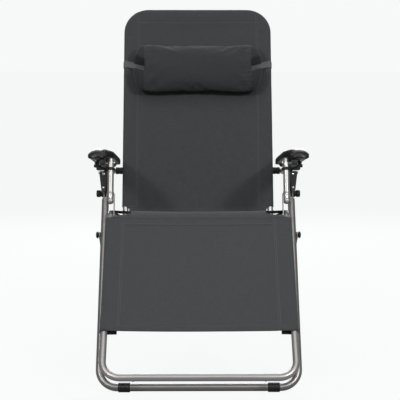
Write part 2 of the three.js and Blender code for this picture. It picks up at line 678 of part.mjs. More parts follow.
// A crowned bolster: round ended, flat where it rests on the back.
function pillow() {
  const slices = 12;
  const around = 20;
  const capLength = 62;
  const halfWidth = PILLOW_WIDTH / 2;
  const sections = [];
  for (let i = 0; i <= slices; i += 1) {
    const t = -1 + (2 * i) / slices;
    const x = halfWidth * Math.sin((t * Math.PI) / 2);
    const fromEnd = Math.min(1, (halfWidth - Math.abs(x)) / capLength);
    sections.push([x, 0.35 + 0.65 * Math.sqrt(1 - (1 - fromEnd) ** 2)]);
  }
  const positions = [];
  const ring = ([x, scale]) => {
    const points = [];
    for (let i = 0; i < around; i += 1) {
      const angle = (2 * Math.PI * i) / around;
      const depth = (PILLOW_DEEP / 2) * scale * (1 + Math.cos(angle) * 1);
      const tall = (PILLOW_TALL / 2) * scale * Math.sin(angle);
      points.push([x, -STRAP_OUTER - GAP - depth, PILLOW_UP + tall]);
    }
    return points;
  };
  const rings = sections.map(ring);
  const quad = (a, b, c, d) => positions.push(...a, ...c, ...b, ...a, ...d, ...c);
  for (let i = 0; i < slices; i += 1) {
    for (let k = 0; k < around; k += 1) {
      const next = (k + 1) % around;
      quad(rings[i][k], rings[i][next], rings[i + 1][next], rings[i + 1][k]);
    }
  }
  const lid = (points, flip) => {
    for (let k = 1; k < around - 1; k += 1) {
      const triangle = flip ? [points[0], points[k], points[k + 1]] : [points[0], points[k + 1], points[k]];
      positions.push(...triangle.flat());
    }
  };
  lid(rings[0], true);
  lid(rings[slices], false);
  const geometry = new THREE.BufferGeometry();
  geometry.setAttribute('position', new THREE.Float32BufferAttribute(positions, 3));
  return geometry;
}

addPart(pillowGroup, 'pillow', pillow(), PILLOW_BLACK);
addPart(pillowGroup, 'pillow_strap', pillowStrap(), STRAP_GREY);

// ---- stand the model over the middle of its own footprint -------------------------------------------------------------------

const bounds = new THREE.Box3().setFromObject(recliner, true);
recliner.position.y = -(bounds.min.y + bounds.max.y) / 2;
recliner.updateMatrixWorld(true);

export default recliner;
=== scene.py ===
"""Looks of the zero gravity recliner: tubes, plastic fittings, woven sling, bolster pillow. In metres."""

import json
import math

import bmesh
import bpy
from mathutils import Matrix, Vector, noise
from mathutils.bvhtree import BVHTree


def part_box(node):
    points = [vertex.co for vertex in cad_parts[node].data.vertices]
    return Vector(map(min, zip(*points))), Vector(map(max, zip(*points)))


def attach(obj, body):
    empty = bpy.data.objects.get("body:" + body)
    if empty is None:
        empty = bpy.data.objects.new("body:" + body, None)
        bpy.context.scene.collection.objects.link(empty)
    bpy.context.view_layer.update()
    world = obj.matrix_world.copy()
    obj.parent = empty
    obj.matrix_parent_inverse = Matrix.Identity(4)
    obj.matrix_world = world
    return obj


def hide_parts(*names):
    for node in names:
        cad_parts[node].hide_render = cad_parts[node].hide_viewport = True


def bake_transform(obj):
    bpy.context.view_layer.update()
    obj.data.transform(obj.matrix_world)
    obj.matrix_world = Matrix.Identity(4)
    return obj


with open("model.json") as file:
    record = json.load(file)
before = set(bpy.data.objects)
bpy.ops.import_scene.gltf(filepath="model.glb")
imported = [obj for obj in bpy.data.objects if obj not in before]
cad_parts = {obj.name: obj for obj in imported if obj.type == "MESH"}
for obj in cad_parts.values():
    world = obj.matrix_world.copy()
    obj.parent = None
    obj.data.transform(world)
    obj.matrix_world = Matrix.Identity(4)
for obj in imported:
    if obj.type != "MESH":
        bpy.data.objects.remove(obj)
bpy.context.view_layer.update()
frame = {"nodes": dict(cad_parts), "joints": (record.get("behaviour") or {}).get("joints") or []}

# ---- places and sizes read from the frame ----------------------------------------------------------------------------

JOINTS = {joint["name"]: joint for joint in frame["joints"]}
SIDES = {"left": 1, "right": -1}


def joint_at(name):
    return Vector((0, *JOINTS[name]["pos_m"][1:]))


def centre(node):
    low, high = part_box(node)
    return (low + high) / 2


def flat_centre(node):
    return Vector((0, *centre(node)[1:]))


def front_of(up):
    """The side-view direction a quarter turn forward of this one."""
    return Vector((0, -up.z, up.y))


def across(sign, half, point):
    """A side-view point, carried out to one side."""
    return Vector((sign * half, point.y, point.z))


ARM_HINGE = joint_at("recline")
BASE_HINGE = joint_at("rear_leg_fold")
BACK_PIVOT = joint_at("back_pivot")
POST_PIVOT = joint_at("post_pivot")
HIP = joint_at("hip")
KNEE = flat_centre("knee_bolt_left")
FRONT_BAR = flat_centre("front_foot_sleeve_left")
REAR_BAR = flat_centre("rear_foot_sleeve_left")

# Tube radii, and how far each tube's centre line is from the chair's middle.
BASE_R = 0.0105
FRAME_R = (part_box("arm_rail_left")[1].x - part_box("arm_rail_left")[0].x) / 2
FLOOR_BAR_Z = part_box("front_leg_frame")[0].z + BASE_R
FRONT_BAR.z = FLOOR_BAR_Z
REAR_BAR.z = FLOOR_BAR_Z
BASE_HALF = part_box("front_leg_frame")[1].x - BASE_R
SEAT_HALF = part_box("seat_frame")[1].x - FRAME_R
BACK_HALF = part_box("back_frame")[1].x - FRAME_R
RAIL_HALF = centre("arm_rail_left").x
SHEET = FRAME_R + 0.0016  # from a tube's centre line to the cloth's outer face
BACK_UP = (BACK_PIVOT - HIP).normalized()
BACK_FRONT = front_of(BACK_UP)
SEAT_REAR = (HIP - KNEE).normalized()
SEAT_UP = front_of(SEAT_REAR)
LEG_END = Vector((0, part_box("seat_frame")[0].y + FRAME_R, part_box("seat_frame")[0].z + FRAME_R))
BACK_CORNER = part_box("back_frame")[1]
BACK_TOP = (Vector((0, BACK_CORNER.y - FRAME_R, BACK_CORNER.z - FRAME_R)) - HIP).length
PILLOW_UP = (flat_centre("pillow") - HIP).dot(BACK_UP)
STRAP_RISE = (flat_centre("pillow_strap") - HIP).dot(BACK_UP) - PILLOW_UP

# Bend radii of the tubes' centre lines.
KNEE_BEND = 0.042
LEG_BEND = 0.048
BACK_BEND = 0.070
BASE_BEND = 0.052
# Where the cloth starts and ends along the tubes, and how far it stays clear of the knee and the hip.
LEG_FABRIC = 0.395
KNEE_CLEAR = 0.052
LEG_CLEAR = 0.020
HIP_CLEAR = 0.080
BACK_START = 0.034
CUTOUT_HALF = 0.222
# How deep the cloth hangs between its edges.
LEG_SAG, KNEE_SAG, BACK_SAG = 0.0055, 0.0050, 0.0085


# ---- materials -------------------------------------------------------------------------------------------------------

class Tree:
    """A small helper for building a material's nodes. In a keyword, _ stands for the space in a socket's name."""

    def __init__(self, name, colour, roughness, metallic=0.0, **sockets):
        self.material = bpy.data.materials.new(name)
        self.material.use_nodes = True
        self.nodes = self.material.node_tree.nodes
        self.shader = next(n for n in self.nodes if n.type == "BSDF_PRINCIPLED")
        self.surface(Base_Color=colour, Roughness=roughness, Metallic=metallic, **sockets)

    def feed(self, socket, value):
        """Links a node's output to the socket, or sets it to a number, a vector or a colour."""
        if isinstance(value, bpy.types.NodeSocket):
            self.material.node_tree.links.new(value, socket)
        elif socket.type == "RGBA":
            socket.default_value = (*value, 1)
        else:
            socket.default_value = value

    def node(self, kind, **sockets):
        node = self.nodes.new("ShaderNode" + kind)
        for name, value in sockets.items():
            self.feed(node.inputs[name.replace("_", " ")], value)
        return node.outputs[0]

    def surface(self, **sockets):
        for name, value in sockets.items():
            self.feed(self.shader.inputs[name.replace("_", " ")], value)

    def math(self, operation, *values):
        node = self.nodes.new("ShaderNodeMath")
        node.operation = operation
        for socket, value in zip(node.inputs, values):
            self.feed(socket, value)
        return node.outputs[0]

    def mix(self, factor, a, b):
        node = self.nodes.new("ShaderNodeMix")
        node.data_type = "RGBA"
        for index, value in ((0, factor), (6, a), (7, b)):
            self.feed(node.inputs[index], value)
        return node.outputs[2]

    def ramp(self, value, low, high, out_low=0.0, out_high=1.0):
        return self.node("MapRange", Value=value, From_Min=low, From_Max=high, To_Min=out_low, To_Max=out_high)

    def noise(self, scale, detail=2.0, vector=None):
        if vector is None:
            vector = self.object_place()
        return self.node("TexNoise", Scale=scale, Detail=detail, Roughness=0.5, Vector=vector)

    def object_place(self, scale=(1, 1, 1)):
        source = self.nodes.new("ShaderNodeTexCoord").outputs["Object"]
        return self.node("Mapping", Vector=source, Scale=scale)

    def cloth_place(self):
        """The UV map, which is in metres, whole and split in two."""
        uv = self.node("UVMap")
        split = self.nodes.new("ShaderNodeSeparateXYZ")
        self.feed(split.inputs[0], uv)
        return uv, split.outputs[0], split.outputs[1]

    def bump(self, height, distance, strength):
        self.surface(Normal=self.node("Bump", Distance=distance, Strength=strength, Height=height))


def scaled(colour, factor):
    return tuple(min(1.0, channel * factor) for channel in colour)


def coated_tube(name, colour, roughness, metallic):
    """Satin powder coat: fine metal flake, faint orange peel and cloudy gloss."""
    tree = Tree(name, colour, roughness, metallic)
    flake = tree.noise(2600.0, 1.0)
    cloud = tree.noise(14.0, 3.0)
    base = tree.mix(tree.ramp(flake, 0.35, 0.65), scaled(colour, 0.86), scaled(colour, 1.1))
    tree.surface(Base_Color=tree.mix(tree.ramp(cloud, 0.3, 0.7, 0.0, 0.35), base, scaled(colour, 0.9)),
                 Roughness=tree.ramp(cloud, 0.3, 0.7, roughness - 0.05, roughness + 0.07))
    tree.bump(tree.noise(700.0), 0.00006, 0.6)
    return tree.material


def moulded_plastic(name, colour, roughness):
    """Fine spark-eroded grain with slightly uneven gloss."""
    tree = Tree(name, colour, roughness, Specular_IOR_Level=0.32)
    cloud = tree.noise(25.0)
    tree.surface(Base_Color=tree.mix(tree.ramp(cloud, 0.3, 0.7), scaled(colour, 0.85), scaled(colour, 1.25)),
                 Roughness=tree.ramp(cloud, 0.3, 0.7, roughness - 0.06, roughness + 0.08))
    tree.bump(tree.noise(1900.0), 0.00012, 0.7)
    return tree.material


def plated_steel(name, colour, roughness):
    """Bright zinc, brushed along one way."""
    tree = Tree(name, colour, roughness, 1.0)
    brushed = tree.noise(900.0, 2.0, tree.object_place((0.1, 1, 1)))
    tree.surface(Roughness=tree.ramp(brushed, 0.3, 0.7, roughness - 0.08, roughness + 0.1))
    tree.bump(brushed, 0.00003, 0.5)
    return tree.material


YARN_SCALE = (26, 210, 1)


def woven(name, light, dark, pitch, roughness, sheen, depth):
    """Plain weave: threads cross over and under each other, with streaked fibres and uneven yarn."""
    tree = Tree(name, light, roughness, Sheen_Weight=sheen, Sheen_Roughness=0.5, Specular_IOR_Level=0.25)
    uv, u, v = tree.cloth_place()
    warp, weft = (tree.math("SINE", tree.math("MULTIPLY", way, math.pi / pitch)) for way in (u, v))
    over = tree.math("GREATER_THAN", tree.math("MULTIPLY", warp, weft), 0.0)
    height = tree.math("ADD", tree.math("MULTIPLY", over, tree.math("ABSOLUTE", warp)),
                       tree.math("MULTIPLY", tree.math("SUBTRACT", 1.0, over), tree.math("ABSOLUTE", weft)))
    streaks = [tree.noise(1.0, 2.0, tree.node("Mapping", Vector=uv, Scale=scale))
               for scale in ((1 / pitch, 0.08 / pitch, 1), (0.08 / pitch, 1 / pitch, 1))]
    fibre = tree.math("MULTIPLY", tree.math("ADD", *streaks), 0.5)
    thread = tree.mix(over, scaled(dark, 0.9), scaled(light, 1.04))
    thread = tree.mix(tree.ramp(fibre, 0.35, 0.65), scaled(dark, 0.92), thread)
    cloth = tree.mix(tree.ramp(height, 0.0, 0.55), scaled(dark, 0.45), thread)
    yarn = tree.noise(1.0, 2.0, tree.node("Mapping", Vector=uv, Scale=YARN_SCALE))
    cloth = tree.mix(tree.ramp(yarn, 0.35, 0.68, 0.0, 0.42), cloth, scaled(dark, 0.85))
    cloud = tree.ramp(tree.noise(9.0, 3.0), 0.3, 0.7, 0.0, 0.3)
    tree.surface(Base_Color=tree.mix(cloud, cloth, scaled(dark, 0.95)))
    tree.bump(height, depth, 0.8)
    return tree.material


def ribbed(name, colour, pitch, roughness, depth):
    """Elastic webbing or thread: fine ribs along u, crossed by a faint knit."""
    tree = Tree(name, colour, roughness, Sheen_Weight=0.15, Specular_IOR_Level=0.25)
    _, u, v = tree.cloth_place()
    knit, rib = (tree.math("ABSOLUTE", tree.math("SINE", tree.math("MULTIPLY", way, math.pi / pitch)))
                 for way in (u, v))
    height = tree.math("ADD", rib, tree.math("MULTIPLY", knit, 0.35))
    tree.surface(Base_Color=tree.mix(tree.ramp(height, 0.1, 0.9), scaled(colour, 0.5), scaled(colour, 1.15)))
    tree.bump(height, depth, 0.8)
    return tree.material


# Tubes and plastics: colour, roughness, metallic. Cloths: light and dark thread, pitch, roughness, sheen, depth.
FRAME_SILVER = coated_tube("frame_silver", (0.39, 0.383, 0.372), 0.34, 0.75)
# The base tubes use the frame's powder coat painted darker: painted shade for the shadow they sit in low under the
# chair.
BASE_SILVER_SHADED = coated_tube("base_silver_shaded", (0.265, 0.260, 0.252), 0.36, 0.72)
ZINC = plated_steel("zinc_plate", (0.72, 0.72, 0.73), 0.24)
BLACK = moulded_plastic("black_nylon", (0.010, 0.010, 0.011), 0.46)
PAD_BLACK = moulded_plastic("armrest_black", (0.011, 0.011, 0.012), 0.33)
SLING = woven("sling_weave", (0.091, 0.093, 0.097), (0.051, 0.053, 0.056), 0.0016, 0.88, 0.12, 0.0004)
HEM = woven("hem_weave", (0.085, 0.089, 0.092), (0.05, 0.053, 0.055), 0.0012, 0.9, 0.12, 0.0003)
PILLOW = woven("pillow_weave", (0.056, 0.057, 0.060), (0.033, 0.034, 0.036), 0.0011, 0.9, 0.15, 0.00025)
# The end panels are the pillow's own cloth painted darker: painted shade for their sideways-facing ends.
PILLOW_END_SHADED = woven("pillow_end_shaded_weave", (0.044, 0.045, 0.047), (0.026, 0.027, 0.028), 0.0011, 0.92, 0.1, 0.00025)
ELASTIC = ribbed("elastic_webbing", (0.105, 0.110, 0.113), 0.0018, 0.85, 0.0003)
THREAD = ribbed("sewing_thread", (0.250, 0.258, 0.264), 0.0004, 0.7, 0.00008)


# ---- mesh tools ------------------------------------------------------------------------------------------------------

SHARP = math.radians(38)


def mesh_object(name, bm, material, sharp=SHARP):
    """Turns a bmesh into an object with smooth faces, and sharp edges only where the surface really turns."""
    bmesh.ops.recalc_face_normals(bm, faces=bm.faces)
    for face in bm.faces:
        face.smooth = True
    for edge in bm.edges:
        edge.smooth = len(edge.link_faces) != 2 or edge.calc_face_angle(0) < sharp
    mesh = bpy.data.meshes.new(name)
    bm.to_mesh(mesh)
    bm.free()
    mesh.materials.append(material)
    return placed(name, mesh)


def placed(name, data):
    """A new object in the scene."""
    obj = bpy.data.objects.new(name, data)
    bpy.context.scene.collection.objects.link(obj)
    return obj


def skin(bm, rings, caps=True):
    """Joins neighbouring rings of vertices with quads, and closes the two ends."""
    for a, b in zip(rings, rings[1:]):
        for k in range(len(a)):
            n = (k + 1) % len(a)
            bm.faces.new((a[k], a[n], b[n], b[k]))
    if caps:
        bm.faces.new(rings[0])
        bm.faces.new(reversed(rings[-1]))


def power(value, exponent):
    """A power that keeps the sign, for sections between an oval and a box."""
    return math.copysign(abs(value) ** exponent, value)


def reach_of(node):
    """Where a node starts and ends, measured out from the chair's middle."""
    low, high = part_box(node)
    return sorted((abs(low.x), abs(high.x)))


def mm(*pairs):
    """Pairs in millimetres, made into metres."""
    return [(a / 1000, b / 1000) for a, b in pairs]


def distances(points):
    """How far along the line each point lies."""
    found = [0.0]
    for a, b in zip(points, points[1:]):
        found.append(found[-1] + (b - a).length)
    return found


def quads(bm, lines):
    """Faces between neighbouring open lines of vertices."""
    for a, b in zip(lines, lines[1:]):
        for corners in zip(a, a[1:], b[1:], b):
            bm.faces.new(corners)


def lay_uvs(bm, uv_of):
    """Gives every face corner the flat place of its vertex, in metres."""
    layer = bm.loops.layers.uv.verify()
    for face in bm.faces:
        for loop in face.loops:
            loop[layer].uv = uv_of(loop.vert)


def angles(count):
    """Equal steps once round."""
    return [2 * math.pi * k / count for k in range(count)]


def evenly(start, end, count):
    return [start + (end - start) * i / count for i in range(count + 1)]


def spread(start, end, step):
    """Even values from start to end, at most a step apart."""
    return evenly(start, end, max(1, math.ceil(abs(end - start) / step)))


def smooth_step(t):
    t = max(0.0, min(1.0, t))
    return t * t * (3 - 2 * t)


def round_over(t):
    """Rises from 0 to 1 like a quarter circle."""
    t = max(0.0, min(1.0, t))
    return math.sqrt(1 - (1 - t) ** 2)


def clamped(value, low, high):
    return max(low, min(high, value))


def apply_modifiers(obj):
    graph = bpy.context.evaluated_depsgraph_get()
    evaluated = obj.evaluated_get(graph)
    mesh = bpy.data.meshes.new_from_object(evaluated, depsgraph=graph)
    obj.modifiers.clear()
    obj.data = mesh
    return obj


def joined(name, objects):
    """One object from several, keeping each one's material."""
    with bpy.context.temp_override(active_object=objects[0], selected_editable_objects=objects):
        bpy.ops.object.join()
    objects[0].name = name
    objects[0].data.name = name
    return objects[0]


def bevelled(obj, width, segments=3, angle=30):
    modifier = obj.modifiers.new("bevel", "BEVEL")
    modifier.width = width
    modifier.segments = segments
    modifier.limit_method = "ANGLE"
    modifier.angle_limit = math.radians(angle)
    modifier.harden_normals = False
    return apply_modifiers(obj)


def settle(obj, body, slot, *nodes):
    """The piece rides on its body and stands for its CAD nodes, which are hidden. slot is not used."""
    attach(obj, body)
    if nodes:
        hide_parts(*nodes)
    return obj


def bent_path(corners, radii, straight=0.03, arc_steps=12):
    """Points along straight runs joined by arcs."""
    path = [corners[0].copy()]
    for before, here, after, radius in zip(corners, corners[1:], corners[2:], radii):
        back, ahead = (before - here).normalized(), (after - here).normalized()
        half = back.angle(ahead) / 2
        middle = here + (back + ahead).normalized() * (radius / math.sin(half))
        start = here + back * (radius / math.tan(half)) - middle
        axis = back.cross(ahead)
        for step in range(arc_steps + 1):
            turn = Matrix.Rotation(-(math.pi - 2 * half) * step / arc_steps, 3, axis)
            path.append(middle + turn @ start)
    path.append(corners[-1].copy())
    dense = [path[0]]
    for a, b in zip(path, path[1:]):
        count = max(1, round((b - a).length / straight))
        dense += [a.lerp(b, i / count) for i in range(1, count + 1)]
    return dense


def tangents(path, closed=False):
    count = len(path)
    found = []
    for i in range(count):
        before = path[i - 1] if closed or i else path[0]
        after = path[(i + 1) % count] if closed or i < count - 1 else path[-1]
        found.append((after - before).normalized())
    return found


def sweep(bm, path, outline, first_normal, closed=False):
    """Sweeps a closed 2-D outline of (side, up) pairs along a path, with UVs in metres. up starts at first_normal."""
    uv_layer = bm.loops.layers.uv.verify()
    rings = []
    up = first_normal.normalized()
    for point, tangent in zip(path, tangents(path, closed)):
        up = (up - tangent * up.dot(tangent)).normalized()
        side = tangent.cross(up)
        rings.append([bm.verts.new(point + side * a + up * b) for a, b in outline])
    around = distances([Vector(pair) for pair in (*outline, outline[0])])
    along = distances([*path, path[0]])
    for i in range(len(rings) if closed else len(rings) - 1):
        following = rings[(i + 1) % len(rings)]
        for k in range(len(outline)):
            n = (k + 1) % len(outline)
            face = bm.faces.new((rings[i][k], rings[i][n], following[n], following[k]))
            places = ((i, k), (i, k + 1), (i + 1, k + 1), (i + 1, k))
            for loop, (row, column) in zip(face.loops, places):
                loop[uv_layer].uv = (along[row], around[column])
    if not closed:
        bm.faces.new(rings[0])
        bm.faces.new(reversed(rings[-1]))


def circle(radius, count=28):
    return [(radius * math.cos(angle), radius * math.sin(angle)) for angle in angles(count)]


def tube(name, path, radius, material):
    bm = bmesh.new()
    sweep(bm, path, circle(radius), Vector((1, 0, 0.01)))
    return mesh_object(name, bm, material)


def turned(name, profile, axis_point, axis, material, count=48, flutes=0, flute_depth=0.0, flute_from=1.0):
    """Revolves (along, radius) pairs round an axis. Flutes scallop the rings whose radius is past flute_from."""
    bm = bmesh.new()
    axis = axis.normalized()
    side = axis.orthogonal().normalized()
    other = axis.cross(side)
    rings = []
    for along, radius in profile:
        ring = []
        for i in range(count):
            angle = 2 * math.pi * i / count
            depth = flute_depth * (0.5 + 0.5 * math.cos(flutes * angle)) if radius > flute_from else 0.0
            out = (side * math.cos(angle) + other * math.sin(angle)) * max(radius - depth, 1e-5)
            ring.append(bm.verts.new(axis_point + axis * along + out))
        rings.append(ring)
    skin(bm, rings)
    bmesh.ops.remove_doubles(bm, verts=bm.verts, dist=2e-6)
    return mesh_object(name, bm, material)


def prism(name, outline, axis_from, axis_to, material):
    """A closed outline of points carried from one offset vector to another."""
    bm = bmesh.new()
    low = [bm.verts.new(point + axis_from) for point in outline]
    high = [bm.verts.new(point + axis_to) for point in outline]
    bm.faces.new(low)
    bm.faces.new(reversed(high))
    for i in range(len(outline)):
        n = (i + 1) % len(outline)
        bm.faces.new((low[n], low[i], high[i], high[n]))
    return mesh_object(name, bm, material)


# ---- tube frames -----------------------------------------------------------------------------------------------------

def u_frame(name, side_points, half_bottom, half_top, radii, tube_radius, material):
    """A U of tube: side points run from the open end to the cross bar, then mirror back."""
    corners = []
    for sign in (1, -1):
        run = []
        for i, point in enumerate(side_points):
            share = i / (len(side_points) - 1)
            run.append(across(sign, half_top + (half_bottom - half_top) * share, point))
        corners += run if sign > 0 else run[::-1]
    return tube(name, bent_path(corners, radii), tube_radius, material)


def tongue(x, half_thick, start, end, radius, material):
    """A flattened, round-ended tube end lying between two side-view points."""
    direction = (end - start).normalized()
    other = front_of(direction)
    outline = []
    for middle, first in ((start, 0.5), (end, -0.5)):
        for i in range(13):
            angle = math.pi * (first + i / 12)
            outline.append(middle + direction * (radius * math.cos(angle)) + other * (radius * math.sin(angle)))
    obj = prism("tongue", outline, Vector((x - half_thick, 0, 0)), Vector((x + half_thick, 0, 0)), material)
    return bevelled(obj, 0.0008, 2, 40)


def leg_frame(name, body, node, start, end, halves, tongue_at, half_thick, tongue_from, tongue_to, tongue_radius):
    """A bent U of base tube with a flattened tongue at each open end."""
    # The base tubes take the darker silver, which is painted shade.
    pieces = [u_frame(name, [start, end], *halves, [BASE_BEND] * 2, BASE_R, BASE_SILVER_SHADED)]
    for sign in SIDES.values():
        pieces.append(tongue(sign * tongue_at, half_thick, tongue_from, tongue_to, tongue_radius, BASE_SILVER_SHADED))
    return settle(joined(name, pieces), body, "base_tube", node)


def make_leg_frames():
    up = (ARM_HINGE - FRONT_BAR).normalized()
    leg_frame("front_leg_tube", "base", "front_leg_frame", ARM_HINGE - up * 0.0185, FRONT_BAR,
              (BASE_HALF, BASE_HALF), 0.2825, 0.0025, ARM_HINGE, ARM_HINGE - up * 0.032, 0.0075)
    down = (REAR_BAR - BASE_HINGE).normalized()
    leg_frame("rear_leg_tube", "rear_leg", "rear_leg_frame", BASE_HINGE + down * 0.082, REAR_BAR,
              (0.278, 0.284), 0.2912, 0.002, BASE_HINGE, BASE_HINGE + down * 0.098, 0.009)


def make_back_frame():
    foot = HIP - BACK_UP * 0.011
    top = HIP + BACK_UP * BACK_TOP
    obj = u_frame("back_tube", [foot, top], BACK_HALF, BACK_HALF, [BACK_BEND] * 2, FRAME_R, FRAME_SILVER)
    return settle(obj, "back", "frame_tube", "back_frame")


# The seat tube's corner sits outside the knee pivot, so that the bent tube passes through the pivot.
LEG_AIM = (LEG_END - KNEE).normalized()
KNEE_TURN = math.pi - SEAT_REAR.angle(LEG_AIM)
KNEE_OUT = (-(SEAT_REAR + LEG_AIM)).normalized()
CORNER = KNEE + KNEE_OUT * (KNEE_BEND * (1 / math.cos(KNEE_TURN / 2) - 1))
SEAT_RUN = (HIP - CORNER).normalized()
LEG_RUN = (LEG_END - CORNER).normalized()
SEAT_NORMAL = front_of(SEAT_RUN)
LEG_NORMAL = Vector((0, LEG_RUN.z, -LEG_RUN.y))


def make_seat_frame():
    obj = u_frame("seat_tube", [HIP + SEAT_RUN * 0.011, CORNER, LEG_END], SEAT_HALF, SEAT_HALF,
                  [KNEE_BEND, LEG_BEND, LEG_BEND, KNEE_BEND], FRAME_R, FRAME_SILVER)
    under = Vector((0, -0.004, -FRAME_R * 0.9))
    drains = [turned("drain", mm((-1, 0), (-1, 2.2), (0.6, 2.4), (1, 1.6), (1, 0)),
                     across(sign, 0.173, LEG_END) + under, Vector((0, -0.4, -1)), BLACK, 20)
              for sign in SIDES.values()]
    return settle(joined("seat_tube", [obj, *drains]), "seat", "frame_tube", "seat_frame")


def make_rail(side):
    sign = SIDES[side]
    front, rear = POST_PIVOT - SEAT_REAR * 0.030, BACK_PIVOT + SEAT_REAR * 0.017
    ends = [across(sign, RAIL_HALF, front + SEAT_REAR * 0.002), across(sign, RAIL_HALF, rear)]
    shaft = tube("shaft", bent_path(ends, []), FRAME_R, FRAME_SILVER)
    tip = turned("tip", mm((0, 0), (0.1, 5), (0.6, 8.2), (1.8, 9.3), (2.8, 9.5), (2.8, 0)),
                 across(sign, RAIL_HALF, front), SEAT_REAR, BLACK)
    obj = joined(f"arm_rail_tube_{side}", [shaft, tip])
    settle(obj, "arms", "frame_tube", f"arm_rail_{side}")
    plug = turned(f"rail_plug_{side}", mm((-3, 0), (-3, 8.5), (0, 10), (2.2, 10.2), (4.5, 9.2), (6.2, 6), (6.8, 0)),
                  across(sign, RAIL_HALF, rear), SEAT_REAR, BLACK)
    settle(plug, "arms", "black_plastic", f"arm_rail_plug_{side}")


def make_post(side):
    """Front post: tube in a round-footed ferrule, two flat ears down to the knee bolt, a cap and a collar."""
    sign = SIDES[side]
    up = (POST_PIVOT - KNEE).normalized()
    front = front_of(up)
    length = (POST_PIVOT - KNEE).length

    def at(distance):
        return across(sign, SEAT_HALF, KNEE + up * distance)

    shaft = tube("shaft", [at(0.046), at(0.09), at(length + 0.012)], 0.0092, FRAME_SILVER)
    foot = [(0.0404 - 0.0070 * math.cos(a), 0.0098 * math.sin(a)) for a in spread(0.0, math.pi / 2, 0.2)]
    rim = mm((40.5, 10), (41.5, 10.5), (44.5, 10.5), (45.5, 10.1), (65.5, 10.1), (66.5, 10.5), (69, 10.5), (70, 9.9),
             (70.2, 0))
    ferrule = turned("ferrule", foot + rim, at(0), up, FRAME_SILVER)
    ears = [tongue(sign * x, half, KNEE, KNEE + up * 0.056, 0.0085, FRAME_SILVER)
            for x, half in ((0.2442, 0.0014), (0.2661, 0.0008))]
    studs = [dome_rivet(at(distance) + front * 0.0098, front, 0.0032) for distance in (0.050, 0.062)]
    cap = turned("cap", mm((0, 0), (0, 9.4), (0.8, 9.2), (1.4, 8), (1.7, 5), (1.8, 0)), at(length + 0.0115), up, BLACK)
    obj = joined(f"post_tube_{side}", [shaft, ferrule, cap, *ears, *studs])
    settle(obj, "posts", "frame_tube", f"post_{side}")
    collar = turned(f"post_ring_{side}", mm(
        (-0.5, 0), (-0.5, 10.8), (0.5, 11.8), (2.5, 12.2), (3.5, 11.7), (4.5, 12.2), (6.6, 11.9), (8, 10.8), (8, 0)),
        at(length - 0.022), up, BLACK)
    settle(collar, "posts", "black_plastic", f"post_collar_{side}")


def dome_rivet(place, axis, radius):
    profile = [(-0.001, 0.0), (-0.001, radius), (0.0003, radius)]
    profile += [(0.0003 + radius * 0.45 * math.sin(a), radius * math.cos(a))
                for a in (math.pi / 2 * i / 5 for i in range(1, 6))]
    return turned("rivet", profile, place, axis, ZINC, 24)


# ---- fittings --------------------------------------------------------------------------------------------------------

X_AXIS = Vector((1, 0, 0))


def make_bolt(name, node, inset, head, place, sign, body, flush):
    """A shouldered bolt or rivet through tubes, along X, with domed heads."""
    inner, outer = reach_of(node)
    inner, outer = inner + inset, outer - (0.0 if flush else inset)
    shaft = [(inner - 0.0016, 0.0), (inner - 0.0020, head * 0.35), (inner - 0.0016, head * 0.75),
             (inner - 0.0006, head), (inner, head), (inner, 0.003), (outer, 0.003)]
    if flush:
        shaft.append((outer, 0.0))
    else:
        shaft += [(outer, head), (outer + 0.0006, head), (outer + 0.0016, head * 0.75), (outer + 0.0022, head * 0.35),
                  (outer + 0.0023, 0.0)]
    settle(turned(name, shaft, place, X_AXIS * sign, ZINC, 32), body, "bolt_steel", node)


def make_bolts():
    for side, sign in SIDES.items():
        for name, node, inset, head, place, body in (
                ("post_bolt", "post_pivot_bolt", 0.0025, 0.006, POST_PIVOT, "arms"),
                ("back_bolt", "back_pivot_bolt", 0.0025, 0.006, BACK_PIVOT, "arms"),
                ("hip_pin", "hip_rivet", 0.002, 0.006, HIP, "seat"),
                ("knee_pin", "knee_bolt", 0.002, 0.0065, KNEE, "seat")):
            make_bolt(f"{name}_{side}", f"{node}_{side}", inset, head, place, sign, body, node == "knee_bolt")


def make_knobs():
    """Spacers, hinge knobs and base knobs, turned from (place across, radius) profiles."""
    spacer = mm((246.2, 0), (246.2, 10.2), (247.5, 11.5), (254.5, 11.5), (255.5, 10.4), (257.2, 10.4), (258.2, 11.5),
                (267.2, 11.5), (268.2, 10.4), (268.2, 0))
    knob = mm((268, 0), (268, 5), (269.2, 6.3), (271, 6.3), (271.2, 3.5), (290.3, 3.5), (290.5, 8), (292.6, 8.2),
              (293.4, 10), (294.5, 10.5), (302.5, 10.5), (304.2, 9.9), (305.2, 8.6), (305.6, 7), (305, 5.8), (305, 0))
    button = mm((267.4, 0), (267.4, 3), (293.5, 3), (293.5, 6.2), (295, 6.6), (295.4, 9.6), (296, 10), (298.5, 10),
                (300.3, 9.2), (301.7, 7), (302.4, 3.8), (302.5, 0))
    for side, sign in SIDES.items():
        for name, node, body, profile, place, facets in (
                ("back_spacer", "back_pivot_spacer", "arms", spacer, BACK_PIVOT, (48,)),
                ("arm_knob", "arm_hinge_knob", "base", knob, ARM_HINGE, (96, 12, 0.0008, 0.0098)),
                ("base_knob", "base_hinge_knob", "base", button, BASE_HINGE, (64,))):
            piece = turned(f"{name}_{side}", profile, place, X_AXIS * sign, BLACK, *facets)
            settle(piece, body, "black_plastic", f"{node}_{side}")


